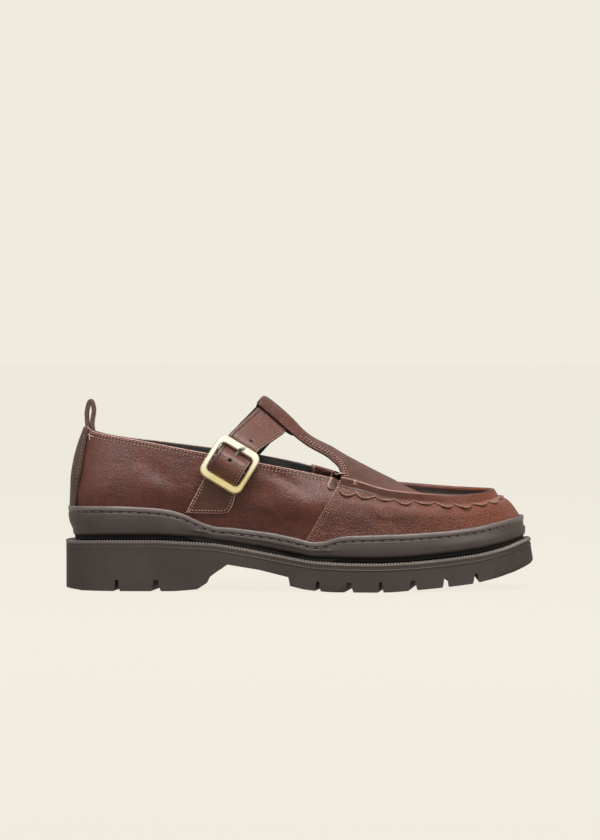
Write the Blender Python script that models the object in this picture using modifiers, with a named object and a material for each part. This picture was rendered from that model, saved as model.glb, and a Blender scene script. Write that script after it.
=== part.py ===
"""T-bar moc-toe shoe, right foot, EU 42. Metres, +Z up, toe at +X, outer (lateral) side at -Y.

Every table gives X from the back of the heel. The whole shoe is moved at the end of each function's work by
place(), so that the origin lies on the floor under the middle of the sole.
"""

import math

import bmesh
import bpy
import numpy as np

# Driving dimensions
GAP = 0.0003  # between neighbouring pieces
FOOT_GAP = 0.0007  # from the outsole's ledge to the rand, the upper and the insole
WALL = 0.0018  # leather and lining together
RAND_WALL = 0.0018
INSOLE_THICKNESS = 0.0045
RIDGE_WIDTH = 0.0030
RIDGE_HEIGHT = 0.0050
STRAP_WIDTH = 0.0229
STRAP_WIDTH_IN_BUCKLE = 0.0206
STRAP_THICKNESS = 0.0018
TAB_THICKNESS = 0.0012
BACKSTRAP_WIDTH = 0.010
BACKSTRAP_THICKNESS = 0.0012
BUCKLE_SIZE = 0.0284
BUCKLE_CORNER = 0.0050
BUCKLE_WINDOW_CORNER = 0.0026
BUCKLE_SIDE = 0.0030  # width of the bars beside the strap
BUCKLE_END = 0.0042  # width of the bars across the strap
BUCKLE_THICKNESS = 0.0025
BUCKLE_BAR_RADIUS = 0.0009
PRONG_RADIUS = 0.0008
STEPS = 4  # mesh columns from one station to the next
PROFILE_STEPS = 3  # mesh rows from one profile point of the wall to the next, above the rand
RIM_ROW = 1  # the wall's row at the rand's top: below it the wall runs straight down to the ledge

# The shoe is set out at 26 stations round the sole, from the back of the heel along the outer side to the toe
# and back along the inner side. sole_x, sole_y: the sole's edge. foot_in, rim_in: how far inside that edge the
# rand's face stands at the sole ledge and at its top. belly_in, belly_z: the widest place of the wall above the
# rand. full: how far the wall stands out beyond a straight line from there to its top. top: the top of the
# wall, which is the topline behind the throat and the moc seam in front of it.
STATIONS = (
    # name, sole_x, sole_y, foot_in, rim_in, belly_in, belly_z, full, top_x, top_y, top_z
    ("heel back", 0.0002, 0.0000, 0.0042, 0.0014, 0.0036, 0.0662, 0.0016, 0.0128, 0.0000, 0.1030),
    ("heel back outer", 0.0042, -0.0195, 0.0042, 0.0018, 0.0036, 0.0660, 0.0014, 0.0160, -0.0110, 0.1016),
    ("heel turn outer", 0.0168, -0.0322, 0.0040, 0.0022, 0.0034, 0.0656, 0.0012, 0.0248, -0.0192, 0.0992),
    ("heel outer", 0.0380, -0.0384, 0.0040, 0.0030, 0.0042, 0.0650, 0.0010, 0.0420, -0.0258, 0.0964),
    ("quarter rear outer", 0.0700, -0.0388, 0.0040, 0.0034, 0.0042, 0.0630, 0.0010, 0.0700, -0.0302, 0.0912),
    ("quarter outer", 0.1050, -0.0388, 0.0040, 0.0038, 0.0034, 0.0580, 0.0012, 0.1040, -0.0334, 0.0850),
    ("quarter front outer", 0.1400, -0.0436, 0.0040, 0.0040, 0.0040, 0.0520, 0.0016, 0.1380, -0.0360, 0.0787),
    ("throat outer", 0.1720, -0.0515, 0.0040, 0.0040, 0.0052, 0.0455, 0.0036, 0.1770, -0.0335, 0.0700),
    ("vamp rear outer", 0.2030, -0.0555, 0.0040, 0.0040, 0.0055, 0.0445, 0.0040, 0.2020, -0.0365, 0.0600),
    ("vamp outer", 0.2320, -0.0537, 0.0042, 0.0042, 0.0060, 0.0450, 0.0036, 0.2280, -0.0370, 0.0562),
    ("vamp front outer", 0.2585, -0.0455, 0.0048, 0.0050, 0.0072, 0.0460, 0.0030, 0.2500, -0.0315, 0.0552),
    ("toe outer", 0.2812, -0.0305, 0.0056, 0.0058, 0.0090, 0.0478, 0.0030, 0.2660, -0.0195, 0.0565),
    ("toe front outer", 0.2948, -0.0118, 0.0062, 0.0064, 0.0102, 0.0492, 0.0030, 0.2725, -0.0055, 0.0580),
    ("toe", 0.2998, 0.0060, 0.0064, 0.0066, 0.0105, 0.0497, 0.0030, 0.2738, 0.0060, 0.0584),
    ("toe front inner", 0.2962, 0.0225, 0.0062, 0.0064, 0.0102, 0.0492, 0.0030, 0.2715, 0.0175, 0.0584),
    ("toe inner", 0.2855, 0.0350, 0.0056, 0.0058, 0.0090, 0.0480, 0.0030, 0.2640, 0.0275, 0.0581),
    ("vamp front inner", 0.2680, 0.0445, 0.0048, 0.0050, 0.0072, 0.0470, 0.0030, 0.2500, 0.0355, 0.0584),
    ("vamp inner", 0.2430, 0.0506, 0.0042, 0.0042, 0.0060, 0.0462, 0.0036, 0.2280, 0.0390, 0.0600),
    ("vamp rear inner", 0.2130, 0.0525, 0.0040, 0.0040, 0.0055, 0.0455, 0.0040, 0.2030, 0.0380, 0.0632),
    ("throat inner", 0.1800, 0.0485, 0.0040, 0.0040, 0.0052, 0.0465, 0.0036, 0.1770, 0.0345, 0.0718),
    ("quarter front inner", 0.1470, 0.0395, 0.0040, 0.0040, 0.0034, 0.0530, 0.0016, 0.1420, 0.0348, 0.0803),
    ("quarter inner", 0.1120, 0.0340, 0.0040, 0.0036, 0.0020, 0.0590, 0.0012, 0.1080, 0.0315, 0.0862),
    ("quarter rear inner", 0.0750, 0.0355, 0.0040, 0.0032, 0.0034, 0.0635, 0.0010, 0.0730, 0.0292, 0.0910),
    ("heel inner", 0.0400, 0.0372, 0.0040, 0.0028, 0.0040, 0.0650, 0.0010, 0.0440, 0.0252, 0.0950),
    ("heel turn inner", 0.0168, 0.0318, 0.0040, 0.0022, 0.0034, 0.0656, 0.0012, 0.0252, 0.0190, 0.0988),
    ("heel back inner", 0.0042, 0.0195, 0.0042, 0.0018, 0.0036, 0.0660, 0.0014, 0.0160, 0.0110, 0.1016),
)
THROAT_OUTER, TOE_OUTER, TOE, TOE_INNER, THROAT_INNER = 7, 11, 13, 15, 19  # rows of STATIONS

# Crown of the apron along its middle, at the moc seam's stations from the throat to the toe
APRON_CREST = (
    # name, x, y, z
    ("throat", 0.1845, 0.0010, 0.0827),
    ("vamp rear", 0.2050, 0.0015, 0.0720),
    ("vamp", 0.2295, 0.0025, 0.0620),
    ("vamp front", 0.2520, 0.0040, 0.0586),
)

# The T-bar from the fold down to the throat: its crown, half its width, and the radius it is arched to
T_BAR = (
    # name, x, z, half_width, radius
    ("fold", 0.1293, 0.1226, 0.0135, 0.0170),
    ("loop end", 0.1470, 0.1073, 0.0135, 0.0170),
    ("below loop", 0.1506, 0.1031, 0.0140, 0.0200),
    ("stem", 0.1610, 0.0953, 0.0155, 0.0250),
    ("stem foot", 0.1695, 0.0914, 0.0182, 0.0320),
    ("flare", 0.1754, 0.0878, 0.0218, 0.0390),
    ("flare foot", 0.1800, 0.0851, 0.0275, 0.0480),
)
T_BAR_Y = 0.0010
FOLD_RADIUS = 0.00315  # of the T-bar's outer face where it turns back over the strap
FOLD_STEPS = 5
RETURN_END_DEPTH = 0.0043  # of the turned-back layer under the crown, where it is sewn down

# Top of the rand and top of the outsole's ledge
RAND_TOP = (
    # x, z
    (0.0000, 0.0528), (0.0108, 0.0533), (0.0214, 0.0536), (0.0375, 0.0535), (0.0520, 0.0528), (0.0602, 0.0522),
    (0.0671, 0.0513), (0.0750, 0.0491), (0.0804, 0.0470), (0.0867, 0.0437), (0.0938, 0.0410), (0.1036, 0.0403),
    (0.1155, 0.0389), (0.1338, 0.0366), (0.1500, 0.0332), (0.1613, 0.0305), (0.1687, 0.0329), (0.1740, 0.0345),
    (0.1791, 0.0353), (0.2000, 0.0360), (0.2191, 0.0367), (0.2411, 0.0381), (0.2612, 0.0406), (0.2695, 0.0423),
    (0.2816, 0.0448), (0.2890, 0.0462), (0.3000, 0.0484),
)
LEDGE = (
    # x, z
    (0.0000, 0.0310), (0.0296, 0.0319), (0.0613, 0.0320), (0.0963, 0.0300), (0.1184, 0.0264), (0.1372, 0.0228),
    (0.1579, 0.0191), (0.1789, 0.0181), (0.1999, 0.0180), (0.2190, 0.0189), (0.2409, 0.0209), (0.2639, 0.0237),
    (0.2814, 0.0276), (0.2930, 0.0312), (0.3000, 0.0330),
)

# Underside of the outsole's outer edge, from the back of the heel to the tip, without its grooves. The breast
# runs further forward on the inner side of the foot, by inner_shift.
UNDERSIDE = (
    # name, x, z, inner_shift
    ("behind", -0.0100, 0.0012, 0.0), ("heel edge", 0.0012, 0.0012, 0.0), ("heel tread", 0.0032, 0.0, 0.0),
    ("heel tread front", 0.0700, 0.0, 0.0), ("breast foot", 0.0826, 0.0012, 0.0095),
    ("breast", 0.0892, 0.0070, 0.0045), ("breast top", 0.1037, 0.0168, 0.0016), ("waist", 0.1240, 0.0136, 0.0),
    ("waist front", 0.1426, 0.0091, 0.0), ("forefoot step", 0.1437, 0.0036, 0.0),
    ("forefoot rear", 0.1520, 0.0016, 0.0), ("forefoot tread", 0.1657, 0.0, 0.0),
    ("forefoot tread front", 0.2048, 0.0, 0.0), ("spring", 0.2244, 0.0016, 0.0),
    ("spring middle", 0.2402, 0.0030, 0.0), ("spring front", 0.2600, 0.0051, 0.0), ("tip rear", 0.2810, 0.0097, 0.0),
    ("tip", 0.2930, 0.0135, 0.0), ("ahead", 0.3100, 0.0208, 0.0),
)
WAIST_OUTER_Y, WAIST_WIDTH = -0.038, 0.074
# Grooves across the tread: middle where the groove meets the sole's edge, width at the mouth, height of the roof,
# and how far the groove's middle runs ahead of its ends
GROOVES = (
    # x, mouth, roof_z, lead
    (0.0325, 0.0044, 0.0072, 0.006), (0.0575, 0.0066, 0.0071, 0.006), (0.1610, 0.0040, 0.0067, 0.006),
    (0.1811, 0.0060, 0.0061, 0.006), (0.2013, 0.0038, 0.0065, 0.006), (0.2216, 0.0060, 0.0075, 0.006),
    (0.2418, 0.0040, 0.0091, 0.002), (0.2612, 0.0040, 0.0114, 0.0),
)
EDGE_BEVEL = (
    # x, bevel: of the outsole's top edge
    (0.0000, 0.0006), (0.2700, 0.0008), (0.2900, 0.0018),
)

# The buckle: middle of its upper and of its lower bar, and the way its width runs, toe end first
BUCKLE_TOP = np.array((0.1122, -0.0380, 0.0908))
BUCKLE_BOTTOM = np.array((0.0990, -0.0430, 0.0694))
BUCKLE_ACROSS = np.array((0.887, -0.050, -0.462))

# How far the strap stands off the buckle's middle plane, at places along the buckle from its middle upwards
STRAP_IN_BUCKLE = (
    # along, off
    (0.0175, -0.0022), (0.0135, -0.0030), (0.0094, -0.0029), (0.0068, -0.0001), (0.0043, 0.0034),
    (0.0000, 0.0039), (-0.0043, 0.0033), (-0.0068, -0.0001), (-0.0094, -0.0029), (-0.0135, -0.0030),
    (-0.0185, -0.0029),
)

# Where the strap lies on the inner quarter, from the topline down to its sewn end
STRAP_INNER_END = (
    # x, z
    (0.1105, 0.0830), (0.1068, 0.0775), (0.1034, 0.0722), (0.1002, 0.0668),
)

# The tab on the outer quarter, from its foot up: the ends of lines across it
TAB = (
    # rear_x, rear_z, front_x, front_z
    (0.0775, 0.0509, 0.1045, 0.0507), (0.0808, 0.0562, 0.1063, 0.0536),
    (0.0850, 0.0632, 0.1078, 0.0578), (0.0888, 0.0690, 0.1090, 0.0612),
)

# The pull loop's path above the topline, in the middle plane: up its outer leg, over, and down inside the heel
PULL_LOOP = (
    # x, z
    (0.0110, 0.1040), (0.0120, 0.1070), (0.0128, 0.1115), (0.0132, 0.1160), (0.0142, 0.1193), (0.0159, 0.1208),
    (0.0174, 0.1192), (0.0180, 0.1155), (0.0174, 0.1095), (0.0166, 0.1040), (0.0157, 0.0985), (0.0142, 0.0925),
)


def spline(knots, values, at, closed=False):
    """Cubic spline through values at the knots, read at the places in at. A closed one ends as it begins."""
    knots, values, at = np.asarray(knots, float), np.asarray(values, float), np.asarray(at, float)
    step = np.diff(knots)
    slope = np.diff(values, axis=0) / step.reshape((-1,) + (1,) * (values.ndim - 1))
    last = len(knots) - 1
    matrix, right = np.zeros((last + 1, last + 1)), np.zeros_like(values)
    for i in range(1, last):
        matrix[i, i - 1 : i + 2] = step[i - 1], 2 * (step[i - 1] + step[i]), step[i]
        right[i] = 6 * (slope[i] - slope[i - 1])
    matrix[0, 0] = 1
    if closed:
        matrix[0, last] = -1
        matrix[last, [last - 1, 0, 1]] = step[-1], 2 * (step[-1] + step[0]), step[0]
        right[last] = 6 * (slope[0] - slope[-1])
    else:
        matrix[last, last] = 1
    bend = np.linalg.solve(matrix, right.reshape(last + 1, -1)).reshape(values.shape)
    i = np.clip(np.searchsorted(knots, at, side="right") - 1, 0, last - 1)
    shape = (-1,) + (1,) * (values.ndim - 1)
    width = step[i].reshape(shape)
    before = ((at - knots[i]) / step[i]).reshape(shape)
    after = 1 - before
    curve = (after**3 - after) * bend[i] + (before**3 - before) * bend[i + 1]
    return after * values[i] + before * values[i + 1] + width**2 / 6 * curve


def chord_knots(points):
    """Knots spaced as the points are, for a spline that doesn't swing between uneven points."""
    gaps = np.linalg.norm(np.diff(np.asarray(points, float), axis=0), axis=1)
    return np.concatenate(([0.0], np.cumsum(gaps)))


def between(knots, steps):
    """Places along the knots, with the same number of steps in each stretch."""
    parts = [np.linspace(a, b, steps, endpoint=False) for a, b in zip(knots[:-1], knots[1:])]
    return np.concatenate(parts + [[knots[-1]]])


def height(table, x):
    """Height read from an (x, z) table, with soft corners."""
    x = np.asarray(x, float)
    soft = 0.0025
    xs, zs = np.array(table).T
    return sum(np.interp(x + shift, xs, zs) for shift in (-soft, 0.0, soft)) / 3


def unit(vector):
    vector = np.asarray(vector, float)
    return vector / np.linalg.norm(vector)


# ---------------------------------------------------------------- the shoe's lines, worked out from the tables

table = np.array([row[1:] for row in STATIONS])
closed_table = np.vstack((table, table[:1]))
station_knots = chord_knots(closed_table[:, 0:2])
columns_at = between(station_knots, STEPS)[:-1]
COLUMNS = len(columns_at)
around = spline(station_knots, closed_table, columns_at, closed=True)

sole_edge = around[:, 0:2]
travel = np.roll(sole_edge, -1, axis=0) - np.roll(sole_edge, 1, axis=0)
outward = np.column_stack((travel[:, 1], -travel[:, 0])) / np.linalg.norm(travel, axis=1)[:, None]
outward_3d = np.column_stack((outward, np.zeros(COLUMNS)))


def ring(inset, z):
    """Points round the shoe, inset from the sole's edge. z is a table read at each point, or the heights."""
    plan = sole_edge - outward * np.asarray(inset).reshape(-1, 1)
    heights = height(z, plan[:, 0]) if isinstance(z, tuple) else np.broadcast_to(z, COLUMNS)
    return np.column_stack((plan, heights))


def wall_rows():
    """The wall's outer face: rows of points from its foot to its top, one point to a column."""
    foot_in, rim_in, belly_in, belly_z, full = around[:, 2:7].T
    foot = ring(foot_in + RAND_WALL + GAP, LEDGE) + (0, 0, FOOT_GAP + GAP)
    rim = ring(rim_in + RAND_WALL + GAP, RAND_TOP)
    belly = ring(belly_in, belly_z)
    top = around[:, 7:10]
    rise = top - belly
    side = np.cross(np.column_stack((-outward[:, 1], outward[:, 0], np.zeros(COLUMNS))), rise)
    side /= np.linalg.norm(side, axis=1)[:, None]
    shoulder = (belly + top) / 2 + side * full[:, None]
    knots = np.arange(5.0)
    at = np.concatenate(([0.0], between(knots[RIM_ROW:], PROFILE_STEPS)))
    return spline(knots, np.stack((foot, rim, belly, shoulder, top)), at)


wall = wall_rows()


def wall_y(x, z, side):
    """Y of the wall's outer face at x and z, on the outer (-1) or the inner (1) side."""
    half = COLUMNS // 2
    picked = range(half) if side < 0 else range(half, COLUMNS)
    at_height = [[np.interp(z, wall[:, c, 2], wall[:, c, axis]) for axis in (0, 1)] for c in picked]
    xs, ys = np.array(sorted(at_height)).T
    return float(np.interp(x, xs, ys))


def laid_on_wall(row, side, lift):
    """The row's points, moved in Y to stand lift off the wall's outer face."""
    return np.array([(x, wall_y(x, z, side) + side * lift, z) for x, _, z in row])


def over_inner_topline(row, lift):
    """The row's points, moved outwards where they would cut the inner wall or the corner of its topline."""
    inner_top = wall[-1, COLUMNS // 2 :][::-1]
    clear, lean = 0.0016, 1.0
    kept = []
    for x, y, z in row:
        above = max(0.0, z - np.interp(x, inner_top[:, 0], inner_top[:, 2]) - clear)
        kept.append((x, max(y, wall_y(x, z, 1) + lift - lean * above), z))
    return np.array(kept)


def arch(crown, along, half_width, radius, depth=0.0, shift=0.0):
    """A row across the T-bar: an arc over the instep, depth under the crown and shifted along the T-bar."""
    up = np.array((along[2], 0.0, -along[0]))
    centre = crown - radius * up + shift * along
    widest = math.asin(half_width / radius)
    angles = np.linspace(-widest, widest, ACROSS + 1)
    across = np.column_stack((np.zeros(ACROSS + 1), np.sin(angles), np.zeros(ACROSS + 1)))
    return centre + (radius - depth) * (across + np.cos(angles)[:, None] * up)


ACROSS = (TOE_INNER - TOE_OUTER) * STEPS
SEAM_ROWS = (TOE_OUTER - THROAT_OUTER) * STEPS


def t_bar_lines():
    """Crown points of the T-bar, the direction up it at each, and its widths and radii."""
    rows = np.array([row[1:] for row in T_BAR])
    crowns = np.column_stack((rows[:, 0], np.full(len(rows), T_BAR_Y), rows[:, 1]))
    ahead = np.vstack((crowns[1:], [APRON_CREST[0][1:]]))
    behind = np.vstack((crowns[:1], crowns[:-1]))
    along = [unit(a - b) for a, b in zip(behind, ahead)]
    along[0] = along[1] = unit(crowns[0] - crowns[1])
    return crowns, along, rows[:, 2], rows[:, 3]


def instep_rows():
    """Rows across the T-bar and the apron, from the end of the turned-back layer, over the fold, to the toe."""
    crowns, along, half_widths, radii = t_bar_lines()
    turned = [arch(crowns[2], along[2], half_widths[1], radii[2], RETURN_END_DEPTH)]
    for place in (1.0, 0.5):
        crown = place * crowns[1] + (1 - place) * crowns[0]
        turned.append(arch(crown, along[0], half_widths[0], radii[0], 2 * FOLD_RADIUS))
    for angle in np.linspace(math.pi, 0, FOLD_STEPS, endpoint=False):
        depth, shift = FOLD_RADIUS * (1 - math.cos(angle)), FOLD_RADIUS * math.sin(angle)
        turned.append(arch(crowns[0], along[0], half_widths[0], radii[0], depth, shift))
    seam = wall[-1]
    outer = seam[THROAT_OUTER * STEPS : TOE_OUTER * STEPS + 1]
    inner = seam[TOE_INNER * STEPS : THROAT_INNER * STEPS + 1][::-1]
    toe_arc = seam[TOE_OUTER * STEPS : TOE_INNER * STEPS + 1]
    crest = np.vstack(([row[1:] for row in APRON_CREST], toe_arc[ACROSS // 2]))
    crest = spline(chord_knots(crest), crest, between(chord_knots(crest), STEPS))
    v = np.linspace(-1, 1, ACROSS + 1)[:, None]
    ribs = [c + v * (r - l) / 2 + v**2 * ((l + r) / 2 - c) for l, c, r in zip(outer, crest, inner)]
    turn = np.linspace(0, 1, len(ribs)) ** 3
    ribs = [rib + t * (toe_arc - ribs[-1]) for rib, t in zip(ribs, turn)]
    keys = [arch(*row) for row in zip(crowns, along, half_widths, radii)] + [ribs[0]]
    knots = chord_knots([key[ACROSS // 2] for key in keys])
    stem = list(spline(knots, np.stack(keys), between(knots, 2)))
    return np.stack(turned + stem + ribs[1:])


instep = instep_rows()


# ---------------------------------------------------------------- making meshes


def clear_scene():
    for kept in (bpy.data.objects, bpy.data.meshes, bpy.data.curves, bpy.data.materials):
        for item in list(kept):
            kept.remove(item)
    for collection in list(bpy.data.collections):
        bpy.data.collections.remove(collection)


def new_collection(name):
    collection = bpy.data.collections.new(name)
    bpy.context.scene.collection.children.link(collection)
    return collection


def add_grid(bm, points, loop_rows=False, loop_columns=False):
    """Faces over rows of points. The face turns out where columns run one way round and rows run up."""
    verts = [[bm.verts.new(point) for point in row] for row in points]
    last_row = len(verts) if loop_rows else len(verts) - 1
    last_column = len(verts[0]) if loop_columns else len(verts[0]) - 1
    for r in range(last_row):
        this, above = verts[r], verts[(r + 1) % len(verts)]
        for c in range(last_column):
            d = (c + 1) % len(this)
            bm.faces.new((this[c], this[d], above[d], above[c]))


def place(bm):
    """Moves a mesh from the heel's back, where the tables begin, to the middle of the sole."""
    middle = (sole_edge.min(axis=0) + sole_edge.max(axis=0)) / 2
    bmesh.ops.translate(bm, vec=(-middle[0], -middle[1], 0), verts=bm.verts)


def finish(bm, name, material, weld=1e-5, smooth=math.radians(40), outside=True):
    """Turns a bmesh into a named object with its material."""
    bmesh.ops.remove_doubles(bm, verts=bm.verts, dist=weld)
    if outside:
        bmesh.ops.recalc_face_normals(bm, faces=bm.faces)
    place(bm)
    mesh = bpy.data.meshes.new(name)
    bm.to_mesh(mesh)
    bm.free()
    mesh.shade_smooth()
    mesh.set_sharp_from_angle(angle=smooth)
    obj = bpy.data.objects.new(name, mesh)
    mesh.materials.append(material)
    shoe.objects.link(obj)
    return obj


def solidify(obj, thickness, offset):
    modifier = obj.modifiers.new("wall", "SOLIDIFY")
    modifier.thickness = thickness
    modifier.offset = offset


def material(name, colour, roughness, metallic=0.0):
    made = bpy.data.materials.new(name)
    made.use_nodes = True
    shader = made.node_tree.nodes["Principled BSDF"]
    shader.inputs["Base Color"].default_value = (*colour, 1.0)
    shader.inputs["Roughness"].default_value = roughness
    shader.inputs["Metallic"].default_value = metallic
    return made


def across_strip(path, widths, parts=4):
    """Rows of points across a strip: path points, and at each the vector from its middle to its edge."""
    sides = np.linspace(-1, 1, parts + 1)[:, None]
    return [p + sides * w for p, w in zip(path, widths)]


def ribbon(name, rows, thickness, finish_with):
    """A strip of leather whose mid layer runs through the rows."""
    bm = bmesh.new()
    add_grid(bm, rows)
    obj = finish(bm, name, finish_with, outside=False)
    solidify(obj, thickness, 0.0)
    return obj


def boolean(obj, cutter, operation):
    modifier = obj.modifiers.new(operation.lower(), "BOOLEAN")
    modifier.operation = operation
    modifier.solver = "EXACT"
    modifier.object = cutter


def as_cutter(obj):
    obj.hide_render = True
    obj.display_type = "WIRE"
    shoe.objects.unlink(obj)
    cutters.objects.link(obj)


def loft(name, outlines, finish_with):
    """A closed solid through outlines that all have the same number of points."""
    bm = bmesh.new()
    add_grid(bm, outlines, loop_columns=True)
    bmesh.ops.holes_fill(bm, edges=bm.edges, sides=len(outlines[0]))
    return finish(bm, name, finish_with)


# ---------------------------------------------------------------- the pieces


def tread_outline(y):
    """The outsole's side view at y: the underside with its grooves cut in, and the ledge on top."""
    xs, zs, shift = np.array([row[1:] for row in UNDERSIDE]).T
    xs = xs + shift * np.clip((y - WAIST_OUTER_Y) / WAIST_WIDTH, 0, 1)
    edge_y = 0.050
    lead_here = 1 - abs(y) / edge_y
    grooves = [(x + lead * lead_here, mouth, roof) for x, mouth, roof, lead in GROOVES]
    ground = []
    at = xs[0]
    for x, mouth, roof in grooves + [(xs[-1], 0.0, 0.0)]:
        left = x - mouth / 2
        ahead = left - at
        crosses_waist = ahead > 0.050
        land = xs[3:11] if crosses_waist else np.linspace(at, left, 5)[1:-1]
        ground += [(place, np.interp(place, xs, zs)) for place in (at, *land, left)]
        if mouth:
            shoulder = np.interp(x, xs, zs) + 0.0015
            ground += [(x - mouth * 0.38, shoulder), (x - mouth * 0.22, roof)]
            ground += [(x + mouth * 0.22, roof), (x + mouth * 0.38, shoulder)]
        at = x + mouth / 2
    top_x = np.linspace(xs[-1], xs[0], 64)
    return [(x, y, z) for x, z in ground + list(zip(top_x, height(LEDGE, top_x)))]


def make_outsole():
    rubber = material("outsole rubber", (0.062, 0.048, 0.045), 0.62)
    half = 0.075
    outsole = loft("outsole", [tread_outline(y) for y in (-half, 0.0, half)], rubber)
    low, high = -0.01, 0.07
    bevel = np.interp(sole_edge[:, 0], *np.array(EDGE_BEVEL).T)
    above = 0.0006
    edge = [ring(0.0, low), ring(0.0, LEDGE) - bevel[:, None] * (0, 0, 1)]
    edge += [ring(bevel + above, LEDGE) + (0, 0, above), ring(bevel + above, high)]
    cutter = loft("outsole_plan", edge, rubber)
    as_cutter(cutter)
    boolean(outsole, cutter, "INTERSECT")


def make_rand():
    inner = wall[: RIM_ROW + 1] + GAP * outward_3d
    outer = inner + RAND_WALL * outward_3d
    bevel = 0.0010
    outer[-1] -= (0, 0, bevel)
    inner_top = inner[-1] + (RAND_WALL - bevel) * outward_3d
    for face in (inner, outer):
        face[0, :, 2] = height(LEDGE, face[0, :, 0]) + FOOT_GAP
    bm = bmesh.new()
    add_grid(bm, np.concatenate((outer, [inner_top], inner[::-1])), loop_rows=True, loop_columns=True)
    finish(bm, "rand", material("rand rubber", (0.070, 0.055, 0.050), 0.48))


def make_insole():
    clear = RAND_WALL + 2 * GAP + WALL + 0.0012
    edge = ring(around[:, 2] + clear, LEDGE) + (0, 0, INSOLE_THICKNESS + FOOT_GAP)
    half = TOE * STEPS
    v = np.linspace(0, 1, 3)[:, None]
    rows = [edge[c] * (1 - v) + edge[-c % COLUMNS] * v for c in range(half + 1)]
    bm = bmesh.new()
    add_grid(bm, rows)
    bmesh.ops.dissolve_degenerate(bm, dist=1e-5, edges=bm.edges)
    insole = finish(bm, "insole", material("insole leather", (0.045, 0.035, 0.030), 0.70), outside=False)
    if sum(face.normal.z for face in insole.data.polygons) < 0:
        insole.data.flip_normals()
    solidify(insole, INSOLE_THICKNESS, -1.0)


def make_upper():
    bm = bmesh.new()
    add_grid(bm, wall, loop_columns=True)
    add_grid(bm, instep.transpose(1, 0, 2)[:, ::-1][::-1])
    upper = finish(bm, "upper", material("upper leather", (0.145, 0.062, 0.045), 0.42), outside=False)
    solidify(upper, WALL, -1.0)


def make_moc_ridge():
    """A raised band along the moc seam, from one side of the throat round the toe to the other."""
    first, last = THROAT_OUTER * STEPS, THROAT_INNER * STEPS
    seam = wall[-1, first : last + 1]
    ahead = np.gradient(seam, axis=0)
    out = np.column_stack((ahead[:, 1], -ahead[:, 0], np.zeros(len(seam))))
    out /= np.linalg.norm(out, axis=1)[:, None]
    base = 0.0008  # clears the wall's slope under the band's outer edge and the apron's under its inner
    half = RIDGE_WIDTH / 2
    section = (
        # out, up
        (half, base), (half, RIDGE_HEIGHT * 0.7), (half * 0.4, RIDGE_HEIGHT),
        (-half * 0.4, RIDGE_HEIGHT), (-half, RIDGE_HEIGHT * 0.7), (-half, base + 0.0022),
    )
    rows = [seam + side * out + (0, 0, up) for side, up in section]
    bm = bmesh.new()
    add_grid(bm, rows, loop_rows=True)
    bmesh.ops.holes_fill(bm, edges=bm.edges, sides=len(section))
    finish(bm, "moc_ridge", material("ridge leather", (0.090, 0.038, 0.028), 0.50))


def buckle_frame_axes():
    """Middle of the buckle, and its directions: across the strap, up along the strap, and out from the foot."""
    up = unit(BUCKLE_TOP - BUCKLE_BOTTOM)
    across = unit(BUCKLE_ACROSS - up * np.dot(BUCKLE_ACROSS, up))
    out = np.cross(across, up)
    return (BUCKLE_TOP + BUCKLE_BOTTOM) / 2, across, up, out if out[1] < 0 else -out


def strap_path():
    """The strap's mid layer from its free end, through the buckle and the loop, to the inner quarter."""
    middle, across, up, out = buckle_frame_axes()
    crowns, along, half_widths, radii = t_bar_lines()
    loop_up = np.array((along[0][2], 0.0, -along[0][0]))
    crown = (crowns[0] + crowns[1]) / 2 + 0.0003 * along[0]
    radius = radii[0] - WALL - GAP - STRAP_THICKNESS / 2
    centre = crown - radii[0] * loop_up
    path = [middle + a * up + o * out for a, o in reversed(STRAP_IN_BUCKLE)]
    widths = [-across * STRAP_WIDTH_IN_BUCKLE / 2] * len(path)
    widest = math.asin(half_widths[0] / radii[0])
    past_edge = 0.12
    for angle in np.linspace(-widest - past_edge, widest + past_edge, 9):
        path.append(centre + radius * (np.array((0.0, math.sin(angle), 0.0)) + math.cos(angle) * loop_up))
        widths.append(along[0] * STRAP_WIDTH / 2)
    for point in ((0.1262, 0.0205, 0.1015), (0.1213, 0.0270, 0.0960), (0.1160, 0.0325, 0.0900)):
        path.append(np.array(point))
        widths.append(unit((-0.840, 0.0, 0.542)) * STRAP_WIDTH / 2)
    return np.array(path), np.array(widths)


def make_strap():
    path, widths = strap_path()
    lift = GAP + STRAP_THICKNESS / 2 + 0.0004
    loop_half = 0.015
    rows = across_strip(path, widths)
    rows = [over_inner_topline(row, lift) if mid[1] > loop_half else row for row, mid in zip(rows, path)]
    inner_end = np.array([(x, 0.0, z) for x, z in STRAP_INNER_END])
    rows += [laid_on_wall(row, 1, lift) for row in across_strip(inner_end, [widths[-1]] * len(inner_end))]
    leather = material("strap leather", (0.135, 0.055, 0.040), 0.42)
    strap = ribbon("cross_strap", rows, STRAP_THICKNESS, leather)
    hole = tube("prong_hole", prong_line(), PRONG_RADIUS + 0.0006, leather)
    as_cutter(hole)
    boolean(strap, hole, "DIFFERENCE")


def prong_line():
    """The prong's two ends: beside the centre bar, and resting on the upper bar."""
    middle, across, up, out = buckle_frame_axes()
    side = 0.0006
    return [middle + side * across + a * up + o * out for a, o in ((0.0030, 0.0015), (0.0145, 0.0030))]


def tube(name, ends, radius, finish_with, segments=12):
    """A round bar between two points."""
    start, end = ends
    length = float(np.linalg.norm(end - start))
    bm = bmesh.new()
    bmesh.ops.create_cone(
        bm, cap_ends=True, segments=segments, radius1=radius, radius2=radius, depth=length
    )
    from_z = np.array((0.0, 0.0, 1.0))
    direction = (end - start) / length
    side = unit(np.cross(from_z, direction))
    frame = np.column_stack((side, np.cross(direction, side), direction))
    for vert in bm.verts:
        vert.co = frame @ np.array(vert.co) + (start + end) / 2
    return finish(bm, name, finish_with)


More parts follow.
